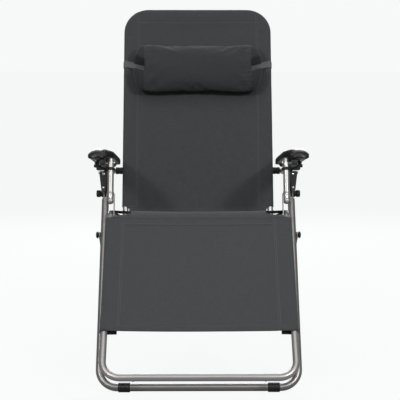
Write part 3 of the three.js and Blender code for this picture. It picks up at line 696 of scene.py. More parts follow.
def make_sleeves():
    for end, bar, body in (("front", FRONT_BAR, "base"), ("rear", REAR_BAR, "rear_leg")):
        for side, sign in SIDES.items():
            node = f"{end}_foot_sleeve_{side}"
            inner, outer = reach_of(node)
            rib = (outer - inner) / 6
            profile = [(inner, 0.0), (inner, 0.0116), (inner + 0.0012, 0.0132)]
            for i in range(6):
                profile += [(inner + rib * (i + 0.25), 0.0135), (inner + rib * (i + 0.75), 0.0135)]
                if i < 5:
                    profile += [(inner + rib * (i + 0.9), 0.0130), (inner + rib * (i + 1.1), 0.0130)]
            profile += [(outer - 0.0012, 0.0132), (outer, 0.0116), (outer, 0.0)]
            sleeve = turned(f"{end}_foot_{side}", profile, bar, X_AXIS * sign, BLACK, 64)
            for vert in sleeve.data.vertices:
                vert.co.z = max(vert.co.z, 0.0)
            settle(sleeve, body, "black_plastic", node)


# Local axes of the armrest unit: along the rail towards the back, square to it, from the post pivot.
def arm_point(x, along, up):
    return Vector((x, 0, 0)) + POST_PIVOT + SEAT_REAR * along + SEAT_UP * up


def arm_local(point):
    away = point - POST_PIVOT
    return away.dot(SEAT_REAR), away.dot(SEAT_UP)


PAD_FRONT, PAD_REAR = -0.042, 0.372
PAD_BOTTOM, PAD_TOP = 0.010, 0.044
WING_LIFT = 0.0075
PAD_NOSE, PAD_SHOULDER, PAD_TAIL = 0.060, 0.016, 0.022
PAD_ARCH, PAD_DISH = 0.0100, 0.0020


def pad_ring(bm, sign, along, inner_rear, outer):
    """One closed line round the armrest pad. The pad is narrower at its front, where it clears the rail."""
    past = along - PAD_FRONT
    inner_front = RAIL_HALF - 0.0126
    inner = inner_front + (inner_rear - inner_front) * smooth_step((past - 0.030) / 0.045)
    nose, sides = round_over(past / PAD_NOSE), round_over(past / PAD_SHOULDER)
    tail = round_over((PAD_REAR - along) / PAD_TAIL)
    middle, half = (outer + inner) / 2, (outer - inner) / 2 * (0.62 + 0.38 * min(sides, tail))
    top = PAD_BOTTOM + (PAD_TOP - PAD_BOTTOM) * min(0.30 + 0.70 * nose, 0.45 + 0.55 * tail)
    bottom = PAD_BOTTOM + 0.003 * (1 - sides)
    ring = []
    for angle in angles(48):
        x = middle + half * power(math.cos(angle), 0.5)
        z = power(math.sin(angle), 0.85 if math.sin(angle) > 0 else 0.3)
        arch = PAD_ARCH * ((x - middle) / half) ** 2 * (1 - smooth_step((past - 0.05) / 0.10))
        dish = PAD_DISH * math.exp(-(((x - middle) / (half * 0.62)) ** 4)) * nose * tail if z > 0.4 else 0.0
        dish = dish * smooth_step((past - 0.04) / 0.08) + arch * max(0.0, z)
        height = bottom + (top - bottom) * (0.5 + 0.5 * z) - dish
        if x < inner_front + 0.002 and past > 0.030:
            height = max(height, PAD_BOTTOM + WING_LIFT)
        ring.append(bm.verts.new(arm_point(sign * x, along, height)))
    return ring


def make_armrest(side):
    """A moulded pad: crowned top with a shallow dish, a nose that rolls down at the front, ribs underneath."""
    sign = SIDES[side]
    inner, outer = reach_of(f"armrest_pad_{side}")
    bm = bmesh.new()
    rings = []
    for t in evenly(0.0, 1.0, 60):
        eased = 0.45 * t + 0.55 * (0.5 - 0.5 * math.cos(math.pi * t))
        rings.append(pad_ring(bm, sign, PAD_FRONT + (PAD_REAR - PAD_FRONT) * eased, inner, outer))
    skin(bm, rings)
    lay_uvs(bm, lambda vert: (vert.co.x + arm_local(vert.co)[1], arm_local(vert.co)[0]))
    pieces = [mesh_object(f"armrest_{side}", bm, PAD_BLACK, math.radians(60))]
    rib_ends = Vector((sign * (RAIL_HALF + 0.0105), 0, 0)), Vector((sign * (outer - 0.006), 0, 0))
    for i in range(9):
        along = 0.13 + i * 0.026
        outline = [arm_point(0, along + on, up)
                   for on, up in ((0, 0.0102), (0.002, 0.0102), (0.002, 0.0060), (0, 0.0060))]
        pieces.append(prism("rib", outline, *rib_ends, PAD_BLACK))
    for along in (0.02, 0.30):
        pieces.append(dome_rivet(arm_point(sign * (RAIL_HALF + 0.022), along, PAD_BOTTOM), -SEAT_UP, 0.0035))
    settle(joined(f"armrest_{side}", pieces), "arms", "black_plastic", f"armrest_pad_{side}")


def make_bracket(side):
    """Housing round the rail, neck and slotted hub: the CAD casting with its edges rounded, a bolt and two rivets."""
    sign = SIDES[side]
    node = f"arm_bracket_{side}"
    bm = bmesh.new()
    bm.from_mesh(frame["nodes"][node].data)
    bmesh.ops.remove_doubles(bm, verts=bm.verts, dist=1e-6)
    bmesh.ops.dissolve_limit(bm, angle_limit=math.radians(1.0), verts=bm.verts, edges=bm.edges)
    casting = bevelled(mesh_object("casting", bm, BLACK, math.radians(30)), 0.0010, 3, 40)
    for polygon in casting.data.polygons:
        polygon.use_smooth = True
    along, outer = arm_local(ARM_HINGE)[0], reach_of(node)[1]
    profile = [(outer + out, radius) for out, radius in mm((-2, 0), (-2, 5.2), (1.5, 5.4), (6, 5.2), (8, 4), (8.2, 0))]
    bolt = turned("side_bolt", profile, arm_point(0, along - 0.016, -0.003), X_AXIS * sign, BLACK, 32)
    rivets = [dome_rivet(arm_point(sign * outer, along + shift, -0.004), X_AXIS * sign, 0.0030)
              for shift in (-0.004, 0.018)]
    settle(joined(f"arm_bracket_moulding_{side}", [casting, bolt, *rivets]), "arms", "black_plastic", node)


def make_lever(side):
    """Tapered lock lever: a rounded blade that leans forward at its tip, two rivets, and the pin it swings on."""
    node = f"lock_lever_{side}"
    middle = centre(node).x
    pin_along, pin_up = arm_local(joint_at(node))
    length, top_half, tip_half, thick = 0.058, 0.014, 0.0062, 0.009
    bm = bmesh.new()
    rings = []
    for t in evenly(0.0, 1.0, 22):
        down = -0.0048 + (length + 0.0046) * t
        rounded = 0.72 + 0.28 * round_over(min(1.0, t / 0.07, (1 - t) / 0.10))
        half = (top_half + (tip_half - top_half) * t ** 0.9) * rounded
        deep = thick / 2 * rounded
        lean = -0.004 * max(0.0, (t - 0.75) / 0.25) ** 2
        rings.append([bm.verts.new(arm_point(middle + half * power(math.cos(angle), 0.45),
                                             pin_along + deep * power(math.sin(angle), 0.45) + lean, pin_up - down))
                      for angle in angles(24)])
    skin(bm, rings)
    blade = mesh_object("blade", bm, BLACK, math.radians(60))
    rivets = [dome_rivet(arm_point(middle, pin_along - thick / 2 + 0.0003 - extra, pin_up - down), -SEAT_REAR, radius)
              for down, radius, extra in ((0.004, 0.0042, 0.0), (0.044, 0.0034, 0.0003))]
    pin = turned("pin", mm((-15, 0), (-15, 3.5), (15, 3.5), (15, 0)), arm_point(middle, pin_along, pin_up), X_AXIS,
                 ZINC, 24)
    settle(joined(f"lever_{side}", [blade, *rivets, pin]), f"lever_{side}", "black_plastic", node)


# ---- sling -----------------------------------------------------------------------------------------------------------

BACK_FLAP, SEAT_FLAP = 0.045, 0.034
BACK_SEAM, SEAT_SEAM = 0.1935, 0.2117
NOTCH_HALF = 0.1945
KNEE_SEAM = -0.0435
SEAM_SHARE = 0.8256
CLOTH = 0.0012


class Row:
    """One line of the sling across the chair: where the tube's centre line is, and how far the cloth reaches.
    turn is the angle gone round the back's top corner, and calm scales the loose waves."""

    def __init__(self, point, normal, along, tube_half, reach=None, sag=0.006, part="seat", turn=None, calm=1.0):
        self.point, self.normal, self.along = point, normal, along
        self.tube_half, self.sag, self.part = tube_half, sag, part
        self.reach = tube_half if reach is None else reach
        self.wrapped = reach is None
        self.turn, self.calm = turn, calm


def knee_reach(along):
    """Half-width of the cloth round the knee's cut-out, or None where it is wrapped round the tube."""
    if along <= -LEG_CLEAR or along >= KNEE_CLEAR:
        return None
    if along < -0.003:
        share = (along + LEG_CLEAR) / (LEG_CLEAR - 0.003)
        return SEAT_HALF - 0.002 - (SEAT_HALF - 0.002 - NOTCH_HALF) * share ** 0.85
    back_out = smooth_step((along - 0.008) / 0.030)
    corner = round_over((KNEE_CLEAR - along) / 0.010)
    half = NOTCH_HALF + (CUTOUT_HALF - NOTCH_HALF) * back_out
    return half + (SEAT_HALF - half) * (1 - corner) * 0.85


def sling_rows():
    """Every row of the sling, from the leg rest's end over the knee and the hip to the top of the back."""
    rows = []
    arc_tangent = KNEE_BEND * math.tan(KNEE_TURN / 2)
    seat_flat = (HIP - CORNER).length - HIP_CLEAR
    for d in spread(LEG_FABRIC, arc_tangent + 0.004, 0.009) + [arc_tangent + 0.0005]:
        rows.append(Row(CORNER + LEG_RUN * d, LEG_NORMAL, -d, SEAT_HALF, knee_reach(-d), LEG_SAG))
    middle = CORNER + (SEAT_RUN + LEG_RUN).normalized() * (KNEE_BEND / math.cos(KNEE_TURN / 2))
    for i, along in enumerate(evenly(-arc_tangent, arc_tangent, 24)):
        normal = LEG_NORMAL.slerp(SEAT_NORMAL, i / 24)
        rows.append(Row(middle + normal * KNEE_BEND, normal, along, SEAT_HALF, knee_reach(along), KNEE_SAG))
    stops = spread(arc_tangent + 0.003, KNEE_CLEAR - 0.0005, 0.0035) + [KNEE_CLEAR + 0.0005, KNEE_CLEAR + 0.004]
    stops += spread(KNEE_CLEAR + 0.010, seat_flat - 0.004, 0.012) + [seat_flat - 0.0005]
    for d in stops:
        sag = KNEE_SAG + (BACK_SAG - KNEE_SAG) * min(1.0, d / 0.2)
        rows.append(Row(CORNER + SEAT_RUN * d, SEAT_NORMAL, d, SEAT_HALF, knee_reach(d), sag))
    curve, along = hip_rows(seat_flat)
    rows += curve
    straight = BACK_TOP - BACK_BEND
    for h in [BACK_START + 0.0005, BACK_START + 0.005] + spread(BACK_START + 0.012, straight, 0.011):
        rows.append(Row(HIP + BACK_UP * h, BACK_FRONT, along + h - BACK_START, BACK_HALF, None, BACK_SAG, "back"))
    for angle in evenly(0.0, math.pi / 2, 16)[1:]:
        h = straight + BACK_BEND * math.sin(angle)
        half = BACK_HALF - BACK_BEND + BACK_BEND * math.cos(angle)
        taut = smooth_step((BACK_TOP - h - 0.011) / 0.058)
        rows.append(Row(HIP + BACK_UP * h, BACK_FRONT, along + h - BACK_START, half, None, BACK_SAG * taut, "back",
                        angle, taut))
    return rows


def hip_rows(seat_flat):
    """The cloth leaves the seat tubes and turns up to the back tubes in one easy curve."""
    start = CORNER + SEAT_RUN * seat_flat + SEAT_NORMAL * SHEET
    end = HIP + BACK_UP * BACK_START + BACK_FRONT * SHEET
    gap = end - start
    cross = SEAT_RUN.y * BACK_UP.z - SEAT_RUN.z * BACK_UP.y
    bend = start + SEAT_RUN * ((gap.y * BACK_UP.z - gap.z * BACK_UP.y) / cross)
    stops = evenly(0.002, 0.998, 30)
    places = [start * (1 - t) ** 2 + bend * (2 * t * (1 - t)) + end * t ** 2 for t in stops]
    lengths = distances(places)
    rows = []
    for t, place, length in zip(stops, places, lengths):
        normal = front_of(((bend - start) * (1 - t) + (end - bend) * t).normalized())
        half = SEAT_HALF + (BACK_HALF - SEAT_HALF) * t
        narrow = half - (half - CUTOUT_HALF) * round_over(min(length, lengths[-1] - length) / 0.012)
        rows.append(Row(place - normal * SHEET, normal, seat_flat + length, half, narrow, BACK_SAG))
    return rows, seat_flat + lengths[-1]


def columns():
    """Shares of the half-width, closer together beside the seams and the edge."""
    half = [i * 0.057 for i in range(1, 14)]
    half += [0.800, 0.815, 0.822, SEAM_SHARE, 0.829, 0.8330, 0.840, 0.855]
    half += [0.868, 0.885, 0.905, 0.925, 0.945, 0.965, 0.985, 1.0]
    return [-c for c in reversed(half)] + [0.0] + half


def seam_x(row):
    return BACK_SEAM if row.part == "back" else SEAT_SEAM


def cloth_point(row, x):
    """Point on the sling's front at this row and place across, with sag, the doubled side bands and small puckers."""
    share = min(1.0, abs(x) / row.tube_half)
    offset = SHEET - row.sag * (1 - share ** 2.4)
    seam = seam_x(row)
    beside = abs(x) - seam
    band = 0.0007 / (1 + math.exp(-max(-40.0, min(40.0, beside / 0.0006))))
    pucker = 0.00038 * math.exp(-abs(beside) / 0.009)
    side = 0.0 if x > 0 else 40.0
    offset += band + pucker * noise.noise(Vector((row.along * 95.0, side, abs(beside) * 30.0)))
    calm = (1 - share ** 8) * row.calm
    offset += 0.0012 * calm * noise.noise(Vector((x * 7.0, row.along * 4.5, 3.1)))
    offset += 0.00045 * calm * noise.noise(Vector((x * 23.0, row.along * 9.0, 8.7)))
    drag = math.exp(-((abs(row.along - 0.03) / 0.05) ** 2)) * math.exp(-(((share - 0.84) / 0.16) ** 2))
    offset += 0.0006 * drag * math.sin(x * 240.0 + row.along * 160.0)
    return Vector((x, 0, 0)) + row.point + row.normal * offset


def make_sling():
    """The sling as one piece, its rows, and the cut area of its cloth, laid flat."""
    rows, shares = sling_rows(), columns()
    bm = bmesh.new()
    uv_of, grid = {}, []
    for row in rows:
        line = []
        for share in shares:
            x = share * row.reach if row.turn else snapped(share, seam_x(row), row.reach)
            line.append(bm.verts.new(cloth_point(row, x)))
            uv_of[line[-1]] = (x, row.along)
        grid.append(line)
    quads(bm, grid)
    for path, flap in pocket_paths(rows, grid):
        wrap_pocket(bm, uv_of, path, flap)
    lay_uvs(bm, uv_of.get)
    cut_area = sum(flat_area([uv_of[vert] for vert in face.verts]) for face in bm.faces)
    sling = mesh_object("sling", bm, SLING, math.radians(80))
    if sling.data.polygons[0].normal.dot(rows[0].normal) < 0:
        sling.data.flip_normals()
    solid = sling.modifiers.new("cloth", "SOLIDIFY")
    solid.thickness = CLOTH
    solid.offset = -1.0
    solid.use_even_offset = True
    apply_modifiers(sling)
    return sling, rows, cut_area


def flat_area(corners):
    """Area of a flat polygon of (u, v) corners."""
    return abs(sum(a[0] * b[1] - b[0] * a[1] for a, b in zip(corners, [*corners[1:], corners[0]]))) / 2


def snapped(share, seam, reach):
    """Slides the columns near the seam onto it, so that the side bands keep one width on seat and back."""
    if reach < seam + 0.008:
        return share * reach
    if abs(share) <= SEAM_SHARE:
        x = abs(share) / SEAM_SHARE * seam
    else:
        x = seam + (abs(share) - SEAM_SHARE) / (1 - SEAM_SHARE) * (reach - seam)
    return math.copysign(x, share)


def pocket_paths(rows, grid):
    """Border points with their tube centres and outward directions, for each pocket that holds a tube."""
    spans, current = [], []
    for i, row in enumerate(rows):
        if row.wrapped:
            current.append(i)
        elif current:
            spans.append(current)
            current = []
    spans.append(current)
    found, top = [], rows[-1]
    for span in spans:
        flap = BACK_FLAP if rows[span[0]].part == "back" else SEAT_FLAP
        for sign, column in ((1, -1), (-1, 0)):
            path = []
            for i in span:
                row = rows[i]
                angle = row.turn or 0.0
                out = Vector((sign * math.cos(angle), 0, 0)) + BACK_UP * math.sin(angle)
                path.append((grid[i][column], across(sign, row.tube_half, row.point), out, row.normal))
            if span is spans[-1] and sign > 0:
                path += [(vert, Vector((vert.co.x, top.point.y, top.point.z)), BACK_UP, top.normal)
                         for vert in reversed(grid[-1][1:-1])]
            if span is spans[-1] and sign < 0:
                found[-1] = (found[-1][0] + path[::-1], flap)
            else:
                found.append((path, flap))
    return found


def wrap_pocket(bm, uv_of, path, flap):
    """Carries the cloth from its border round the tube, and on as a flap behind it."""
    lines = []
    for vert, middle, out, normal in path:
        lift = (vert.co - middle).dot(normal)
        places = []
        for angle in evenly(0.0, math.pi, 12)[1:]:
            wobble = 0.00025 * noise.noise(middle * 60.0 + out * angle)
            radius = SHEET + (lift - SHEET) * (1 - angle / math.pi) + wobble
            places.append((middle + (normal * math.cos(angle) + out * math.sin(angle)) * radius, SHEET * angle))
        for k in range(1, 5):
            back = flap * k / 4
            hang = 0.0006 * noise.noise(middle * 31.0 + normal * k)
            places.append((middle - normal * (SHEET + hang - 0.0003 * k) - out * back, SHEET * math.pi + back))
        u, v = uv_of[vert]
        line = [vert]
        for place, reach in places:
            line.append(bm.verts.new(place))
            uv_of[line[-1]] = (u + out.x * reach, v + out.dot(BACK_UP) * reach)
        lines.append(line)
    quads(bm, lines)


def stitch_line(bm, points, normals, pitch=0.0036, length=0.0026, radius=0.00042):
    """Short raised stitches along a line of surface points."""
    distance, target = 0.0, pitch / 2
    for a, b, na, nb in zip(points, points[1:], normals, normals[1:]):
        span = (b - a).length
        while distance + span >= target and span > 1e-9:
            share = (target - distance) / span
            place = a.lerp(b, share)
            normal = na.lerp(nb, share).normalized()
            direction = (b - a).normalized()
            side = direction.cross(normal).normalized()
            rings = []
            for along, size, rise in ((-0.5, 0.25, -0.5), (-0.32, 0.9, 0.25), (0.0, 1.0, 0.55), (0.32, 0.9, 0.25),
                                      (0.5, 0.25, -0.5)):
                middle = place + direction * (along * length) + normal * (radius * rise)
                rings.append([bm.verts.new(middle + (side * math.cos(t) + normal * math.sin(t)) * (radius * size))
                              for t in angles(6)])
            skin(bm, rings)
            target += pitch
        distance += span


def make_stitches(rows):
    """Two stitch lines along each side seam, and the ones across at the hem, the knee seam and the top."""
    bm = bmesh.new()
    for sign in SIDES.values():
        for shift in (0.0022, 0.0072):
            points, normals = [], []
            for row in rows:
                if row.reach < seam_x(row) + shift + 0.003:
                    stitch_line(bm, points, normals)
                    points, normals = [], []
                    continue
                points.append(cloth_point(row, sign * (seam_x(row) + shift)))
                normals.append(row.normal)
            stitch_line(bm, points, normals)
    for along, half in ((rows[0].along + 0.006, SEAT_HALF - 0.006), (rows[0].along + 0.010, SEAT_HALF - 0.006),
                        (rows[-1].along - 0.040, BACK_HALF - BACK_BEND + 0.040),
                        (KNEE_SEAM - 0.0020, SEAT_SEAM - 0.004), (KNEE_SEAM + 0.0030, SEAT_SEAM - 0.004)):
        row = min(rows, key=lambda row: abs(row.along - along))
        stitch_line(bm, [cloth_point(row, x) for x in evenly(-half, half, 120)], [row.normal] * 121)
    return mesh_object("sling_stitching", bm, THREAD, math.radians(60))


def make_welt(rows, name, along, width, half, height):
    """A band that stands a little above the cloth, right across it."""
    bm = bmesh.new()
    near = [row for row in rows if abs(row.along - along) <= width / 2 + 0.010]
    lines = []
    for t, lift in ((-0.5, -1), (-0.46, 0.35), (-0.3, 1.0), (0.0, 1.05), (0.3, 1.0), (0.46, 0.35), (0.5, -1)):
        target = max(along + t * width, rows[0].along)
        low = max((r for r in near if r.along <= target), key=lambda r: r.along, default=near[0])
        high = min((r for r in near if r.along > target), key=lambda r: r.along, default=near[-1])
        share = (target - low.along) / max(1e-9, high.along - low.along) if high is not low else 0.0
        rise = low.normal.lerp(high.normal, share).normalized() * max(height * lift, -0.0006)
        lines.append([bm.verts.new(cloth_point(low, x).lerp(cloth_point(high, x), share) + rise)
                      for x in evenly(-half, half, 120)])
    quads(bm, [*lines, lines[0]])
    bm.faces.new([line[0] for line in lines])
    bm.faces.new([line[-1] for line in reversed(lines)])
    lay_uvs(bm, lambda vert: (vert.co.x, vert.co.z * 1.3))
    return mesh_object(name, bm, HEM, math.radians(80))


# ---- pillow ----------------------------------------------------------------------------------------------------------

PILLOW_LOW, PILLOW_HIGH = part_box("pillow")
PILLOW_HALF = (PILLOW_HIGH.x - PILLOW_LOW.x) / 2
PANEL_HALF = 0.1747
PILLOW_DEEP = 0.084
PILLOW_SPARE = 0.003  # how far the filled cover may pass its nominal size
PILLOW_TALL = 0.164
PILLOW_BACK = SHEET + 0.0026
PILLOW_MIDDLE = PILLOW_BACK + PILLOW_DEEP / 2
STRAP_HOLD = SHEET + 0.0011

FILL = {"quality": 6, "mass": 0.25, "tension_stiffness": 18, "compression_stiffness": 12, "shear_stiffness": 6,
        "bending_stiffness": 4.0, "use_pressure": True, "uniform_pressure_force": 4.0, "vertex_group_mass": "held",
        "pin_stiffness": 1.0, "shrink_min": -0.01}


def pillow_point(x, forward, up):
    """A point by its place across, its distance in front of the back tubes' centre plane, and its height."""
    return Vector((x, 0, 0)) + HIP + BACK_UP * (PILLOW_UP + up) + BACK_FRONT * forward


def pillow_local(point):
    away = point - HIP
    return point.x, away.dot(BACK_FRONT), away.dot(BACK_UP) - PILLOW_UP


def pillow_angle(forward, up):
    """The angle round the pillow's section, as if it were a circle."""
    return math.atan2(up * PILLOW_DEEP / PILLOW_TALL, forward - PILLOW_MIDDLE)


def pillow_shape(deep, tall, half):
    """A filled bolster: an oval section that leans on the sling, and domed ends beyond the end seams."""
    bm = bmesh.new()
    rings = []
    for t in evenly(-1.0, 1.0, 72):
        x = half * math.sin(math.pi / 2 * t)
        beyond = max(0.0, (abs(x) - PANEL_HALF) / (half - PANEL_HALF))
        size = math.sqrt(max(0.0, 1 - beyond ** 2.2)) * (1 - 0.035 * math.exp(-((abs(x) - PANEL_HALF) / 0.010) ** 2))
        ring = []
        for angle in angles(72):
            c, s = math.cos(angle), math.sin(angle)
            forward = deep / 2 * (1 + power(c, 0.9 if c >= 0 else 0.75) * size)
            up = tall / 2 * power(s, 0.95) * size - 0.004 * (forward / deep)
            ring.append(bm.verts.new(pillow_point(x, PILLOW_BACK + forward, up)))
        rings.append(ring)
    skin(bm, rings, caps=False)
    bmesh.ops.remove_doubles(bm, verts=bm.verts, dist=2e-5)
    bmesh.ops.holes_fill(bm, edges=[e for e in bm.edges if e.is_boundary])
    return mesh_object("pillow_cover", bm, PILLOW, math.radians(80))


def inflate(obj, cap):
    """Swells the cover with Blender's cloth, held at the end seams, and caps how far any point moves."""
    rest = [vert.co.copy() for vert in obj.data.vertices]
    held = obj.vertex_groups.new(name="held")
    for vert in obj.data.vertices:
        x, forward, _ = pillow_local(vert.co)
        seam = math.exp(-((abs(x) - PANEL_HALF) / 0.0045) ** 2)
        lean = max(0.0, 1 - (forward - PILLOW_BACK) / 0.006)
        weight = min(1.0, max(seam, lean))
        if weight > 0.03:
            held.add([vert.index], weight, "REPLACE")
    cloth = obj.modifiers.new("fill", "CLOTH")
    for name, value in FILL.items():
        setattr(cloth.settings, name, value)
    cloth.settings.effector_weights.gravity = 0
    cloth.collision_settings.use_collision = False
    scene = bpy.context.scene
    for step in range(1, 21):
        scene.frame_set(step)
    apply_modifiers(obj)
    for vert, start in zip(obj.data.vertices, rest):
        move = vert.co - start
        if move.length > cap:
            vert.co = start + move * (cap / move.length)
    scene.frame_set(1)


def make_pillow():
    """The cover: its main panel and its two end panels, the ends in darker cloth as painted shade, with UVs that follow
    the weave.
    """
    cover = pillow_shape(PILLOW_DEEP - 0.006, PILLOW_TALL - 0.004, PILLOW_HALF - 0.003)
    remesh = cover.modifiers.new("even", "REMESH")
    remesh.mode = "VOXEL"
    remesh.voxel_size = 0.005
    apply_modifiers(cover)
    inflate(cover, 0.012)
    smooth = cover.modifiers.new("fine", "SUBSURF")
    smooth.levels = smooth.render_levels = 1
    apply_modifiers(cover)
    fit_pillow(cover)
    mesh = cover.data
    mesh.materials.clear()
    mesh.materials.append(PILLOW)
    mesh.materials.append(PILLOW_END_SHADED)
    layer = mesh.uv_layers[0] if mesh.uv_layers else mesh.uv_layers.new(name="UVMap")
    for polygon in mesh.polygons:
        polygon.use_smooth = True
        # Faces past the end seams take the darker cloth, which is painted shade on the sideways ends.
        polygon.material_index = 1 if abs(polygon.center.x) > PANEL_HALF + 0.001 else 0
        for index in polygon.loop_indices:
            x, forward, up = pillow_local(mesh.vertices[mesh.loops[index].vertex_index].co)
            on_panel = (x, pillow_angle(forward, up) * 0.062)
            layer.data[index].uv = (forward, up) if polygon.material_index else on_panel
    cover.name = mesh.name = "pillow_cover"
    return cover, make_piping(cover)


def strap_up(share):
    """Height of the webbing's centre line from the pillow's middle, from the end seam (0) to the back's edge (1)."""
    return -0.003 + (STRAP_RISE + 0.003) * share


def strap_forward(share):
    """The webbing's place in front of the back tubes' centre plane, at the same share."""
    return 0.054 + (STRAP_HOLD - 0.054) * share ** 0.92


def fit_pillow(cover):
    """Keeps the filled cover in its space: flat where it leans on the sling, gathered at the end seams."""
    for vert in cover.data.vertices:
        x, forward, up = pillow_local(vert.co)
        side = 1 if x > 0 else -1
        inside = PANEL_HALF - abs(x)
        seam = math.exp(-(inside / 0.0026) ** 2)
        angle = pillow_angle(forward, up)
        away = math.hypot(up, forward - PILLOW_MIDDLE)
        gather = math.exp(-inside / 0.022) if inside > 0 else 0.4
        fold = noise.noise(Vector((angle * 7.0, side * 5.0, abs(x) * 9.0)))
        shift = 0.0011 * noise.noise(Vector((x * 11.0, angle * 2.1, 2.0))) - 0.0022 * seam + 0.0014 * gather * fold
        if x > 0 and inside > 0:
            low_corner = math.exp(-((angle + 0.75) / 0.5) ** 2)
            shift += 0.0016 * low_corner * math.sin(angle * 30.0) * math.exp(-inside / 0.035)
        if away > 0.01:
            scale = (away + shift) / away
            up, forward = up * scale, PILLOW_MIDDLE + (forward - PILLOW_MIDDLE) * scale
        if inside < 0:
            share = -inside / (BACK_HALF - PANEL_HALF)
            press = math.exp(-(((up - strap_up(share)) / 0.016) ** 4))
            forward -= press * max(0.0, forward - strap_forward(share) + 0.0012)
        up = clamped(up, -PILLOW_TALL / 2 - PILLOW_SPARE, PILLOW_TALL / 2 + PILLOW_SPARE)
        touching = PILLOW_BACK + 0.0005 * noise.noise(vert.co * 30.0)
        forward = clamped(forward, touching, PILLOW_BACK + PILLOW_DEEP + PILLOW_SPARE)
        x = clamped(x, -PILLOW_HALF - PILLOW_SPARE, PILLOW_HALF + PILLOW_SPARE)
        vert.co = pillow_point(x, forward, up)
    cover.data.update()


def make_piping(cover):
    """A thin corded edge in each end seam."""
    surface = BVHTree.FromPolygons([v.co for v in cover.data.vertices], [p.vertices[:] for p in cover.data.polygons])
    bm = bmesh.new()
    for sign in SIDES.values():
        middle = pillow_point(sign * PANEL_HALF, PILLOW_MIDDLE, 0)
        path = []
        for angle in angles(160):
            direction = BACK_FRONT * math.cos(angle) + BACK_UP * math.sin(angle)
            place = surface.ray_cast(middle + direction * 0.2, -direction)[0]
            if place is not None:
                path.append(place - direction * 0.0002)
        sweep(bm, path, circle(0.0013, 10), X_AXIS, closed=True)
    return mesh_object("pillow_piping", bm, PILLOW, math.radians(80))


def make_strap():
    """Elastic webbing from the pillow's end seams over its ends, round the back tubes and across behind."""
    wide, thick = 0.011, 0.0014
    start = PANEL_HALF - 0.001
    side = [(start + (BACK_HALF - start) * share, strap_forward(share), strap_up(share))
            for share in evenly(0.0, 1.0, 18)]
    side += [(BACK_HALF + math.sin(a) * STRAP_HOLD, math.cos(a) * STRAP_HOLD, STRAP_RISE)
             for a in spread(0.25, math.pi, 0.25)]
    side += [(x, -STRAP_HOLD - 0.0012 * (1 - (x / BACK_HALF) ** 2), STRAP_RISE)
             for x in spread(BACK_HALF - 0.012, 0.0, 0.012)]
    points = [pillow_point(*place) for place in side + [(-x, forward, up) for x, forward, up in reversed(side[:-1])]]
    section = ((-wide, -0.5), (-wide, 0.5), (-wide * 0.5, 0.62), (0, 0.66), (wide * 0.5, 0.62), (wide, 0.5),
               (wide, -0.5), (0, -0.5))
    bm = bmesh.new()
    rings, uv_of = [], {}
    for point, heading, along in zip(points, tangents(points), distances(points)):
        out = heading.cross(BACK_UP).normalized()
        if out.dot(point - pillow_point(0, 0, STRAP_RISE)) < 0:
            out = -out
        ring = [bm.verts.new(point + BACK_UP * a + out * (b * thick)) for a, b in section]
        uv_of.update({vert: (along, a) for vert, (a, _) in zip(ring, section)})
        rings.append(ring)
    skin(bm, rings)
    lay_uvs(bm, uv_of.get)
    return mesh_object("pillow_band", bm, ELASTIC, math.radians(50))


# ---- build -----------------------------------------------------------------------------------------------------------

make_leg_frames()
make_back_frame()
make_seat_frame()
for side in SIDES:
    make_rail(side)
    make_post(side)
    make_armrest(side)
    make_bracket(side)
    make_lever(side)
make_bolts()
make_knobs()
make_sleeves()

sling, sling_lines, sling_area = make_sling()
stitching = make_stitches(sling_lines)
welts = [make_welt(sling_lines, "knee_welt", KNEE_SEAM, 0.0060, SEAT_SEAM - 0.001, 0.0007),
         make_welt(sling_lines, "leg_hem", sling_lines[0].along + 0.009, 0.018, SEAT_HALF - 0.004, 0.0008)]
for piece in (sling, stitching, *welts):
    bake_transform(piece)
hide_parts("seat_sling", "back_sling")

pillow_cover, pillow_piping = make_pillow()
band = make_strap()
settle(pillow_cover, "pillow", "pillow_fabric", "pillow")
settle(pillow_piping, "pillow", "pillow_fabric")
settle(band, "pillow", "elastic_strap", "pillow_strap")


# ---- floor, light and camera -----------------------------------------------------------------------------------------

BACKDROP = (0.925, 0.948, 0.940)
FLOOR_GLOW = 0.968
FLOOR_SEEN = (0.050, 0.051, 0.051)
FLOOR_BOUNCE = (0.30, 0.304, 0.302)
WORLD_LIGHT = 0.21
CAMERA_PLACE = (-0.019, -3.4245, 0.930)
CAMERA_DOWN, CAMERA_TURN, CAMERA_LENS = 7.2, -0.40, 103.5


def shader(nodes, kind, colour):
    node = nodes.new("ShaderNode" + kind)
    node.inputs["Color"].default_value = (*colour, 1)
    return node


def empty_tree(owner):
    owner.use_nodes = True
    owner.node_tree.nodes.clear()
    return owner.node_tree.nodes, owner.node_tree.links


def seen_or_lit(nodes, links, seen, lit, output):
    """Sends two shaders to the output: one for what the lens sees, one for the light sent elsewhere."""
    path = nodes.new("ShaderNodeLightPath")
    mix = nodes.new("ShaderNodeMixShader")
    links.new(path.outputs["Is Camera Ray"], mix.inputs[0])
    links.new(lit.outputs[0], mix.inputs[1])
    links.new(seen.outputs[0], mix.inputs[2])
    links.new(mix.outputs[0], output.inputs[0])


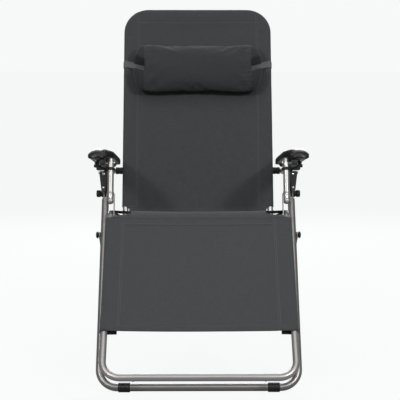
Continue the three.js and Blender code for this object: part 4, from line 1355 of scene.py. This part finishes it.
def make_floor():
    """A pale sweep: mostly as bright as the backdrop, and still a little darker under the chair."""
    material = bpy.data.materials.new("studio_floor")
    nodes, links = empty_tree(material)
    glow = shader(nodes, "Emission", scaled(BACKDROP, FLOOR_GLOW))
    matte = shader(nodes, "BsdfDiffuse", FLOOR_SEEN)
    seen = nodes.new("ShaderNodeAddShader")
    links.new(glow.outputs[0], seen.inputs[0])
    links.new(matte.outputs[0], seen.inputs[1])
    dim = shader(nodes, "BsdfDiffuse", FLOOR_BOUNCE)
    seen_or_lit(nodes, links, seen, dim, nodes.new("ShaderNodeOutputMaterial"))
    bm = bmesh.new()
    bmesh.ops.create_grid(bm, x_segments=2, y_segments=2, size=60.0)
    mesh_object("studio_floor", bm, material)


def make_world():
    """A pale backdrop that lights the chair only softly."""
    world = bpy.data.worlds.new("studio")
    bpy.context.scene.world = world
    nodes, links = empty_tree(world)
    seen, lit = shader(nodes, "Background", BACKDROP), shader(nodes, "Background", (1, 1, 1))
    lit.inputs["Strength"].default_value = WORLD_LIGHT
    seen_or_lit(nodes, links, seen, lit, nodes.new("ShaderNodeOutputWorld"))


def area_light(name, place, target, size, power):
    light = bpy.data.lights.new(name, "AREA")
    light.shape = "RECTANGLE"
    light.size, light.size_y = size
    light.energy = power
    obj = placed(name, light)
    obj.location = place
    obj.rotation_euler = (Vector(target) - Vector(place)).to_track_quat("-Z", "Y").to_euler()


def make_camera():
    data = bpy.data.cameras.new("front")
    data.sensor_width = 36
    data.lens = CAMERA_LENS
    camera = placed("front", data)
    camera.location = CAMERA_PLACE
    camera.rotation_euler = (math.radians(90 - CAMERA_DOWN), 0, math.radians(CAMERA_TURN))
    bpy.context.scene.camera = camera


make_floor()
make_world()
for lamp in (("key", (0.0, -1.75, 2.8), (0, 0, 0.5), (3.4, 2.2), 33),
             ("left_side", (-1.45, -2.6, 1.95), (0, 0.1, 0.6), (0.36, 0.36), 33),
             ("right_side", (1.45, -2.6, 1.95), (0, 0.1, 0.6), (0.36, 0.36), 38),
             ("back_fill", (0.0, 2.8, 1.7), (0, 0, 0.6), (2.6, 1.6), 80),
             ("top_rim", (0.0, 1.1, 2.6), (0, 0, 0.7), (2.2, 0.7), 10)):
    area_light(*lamp)
make_camera()
bpy.context.scene.view_settings.view_transform = "Standard"
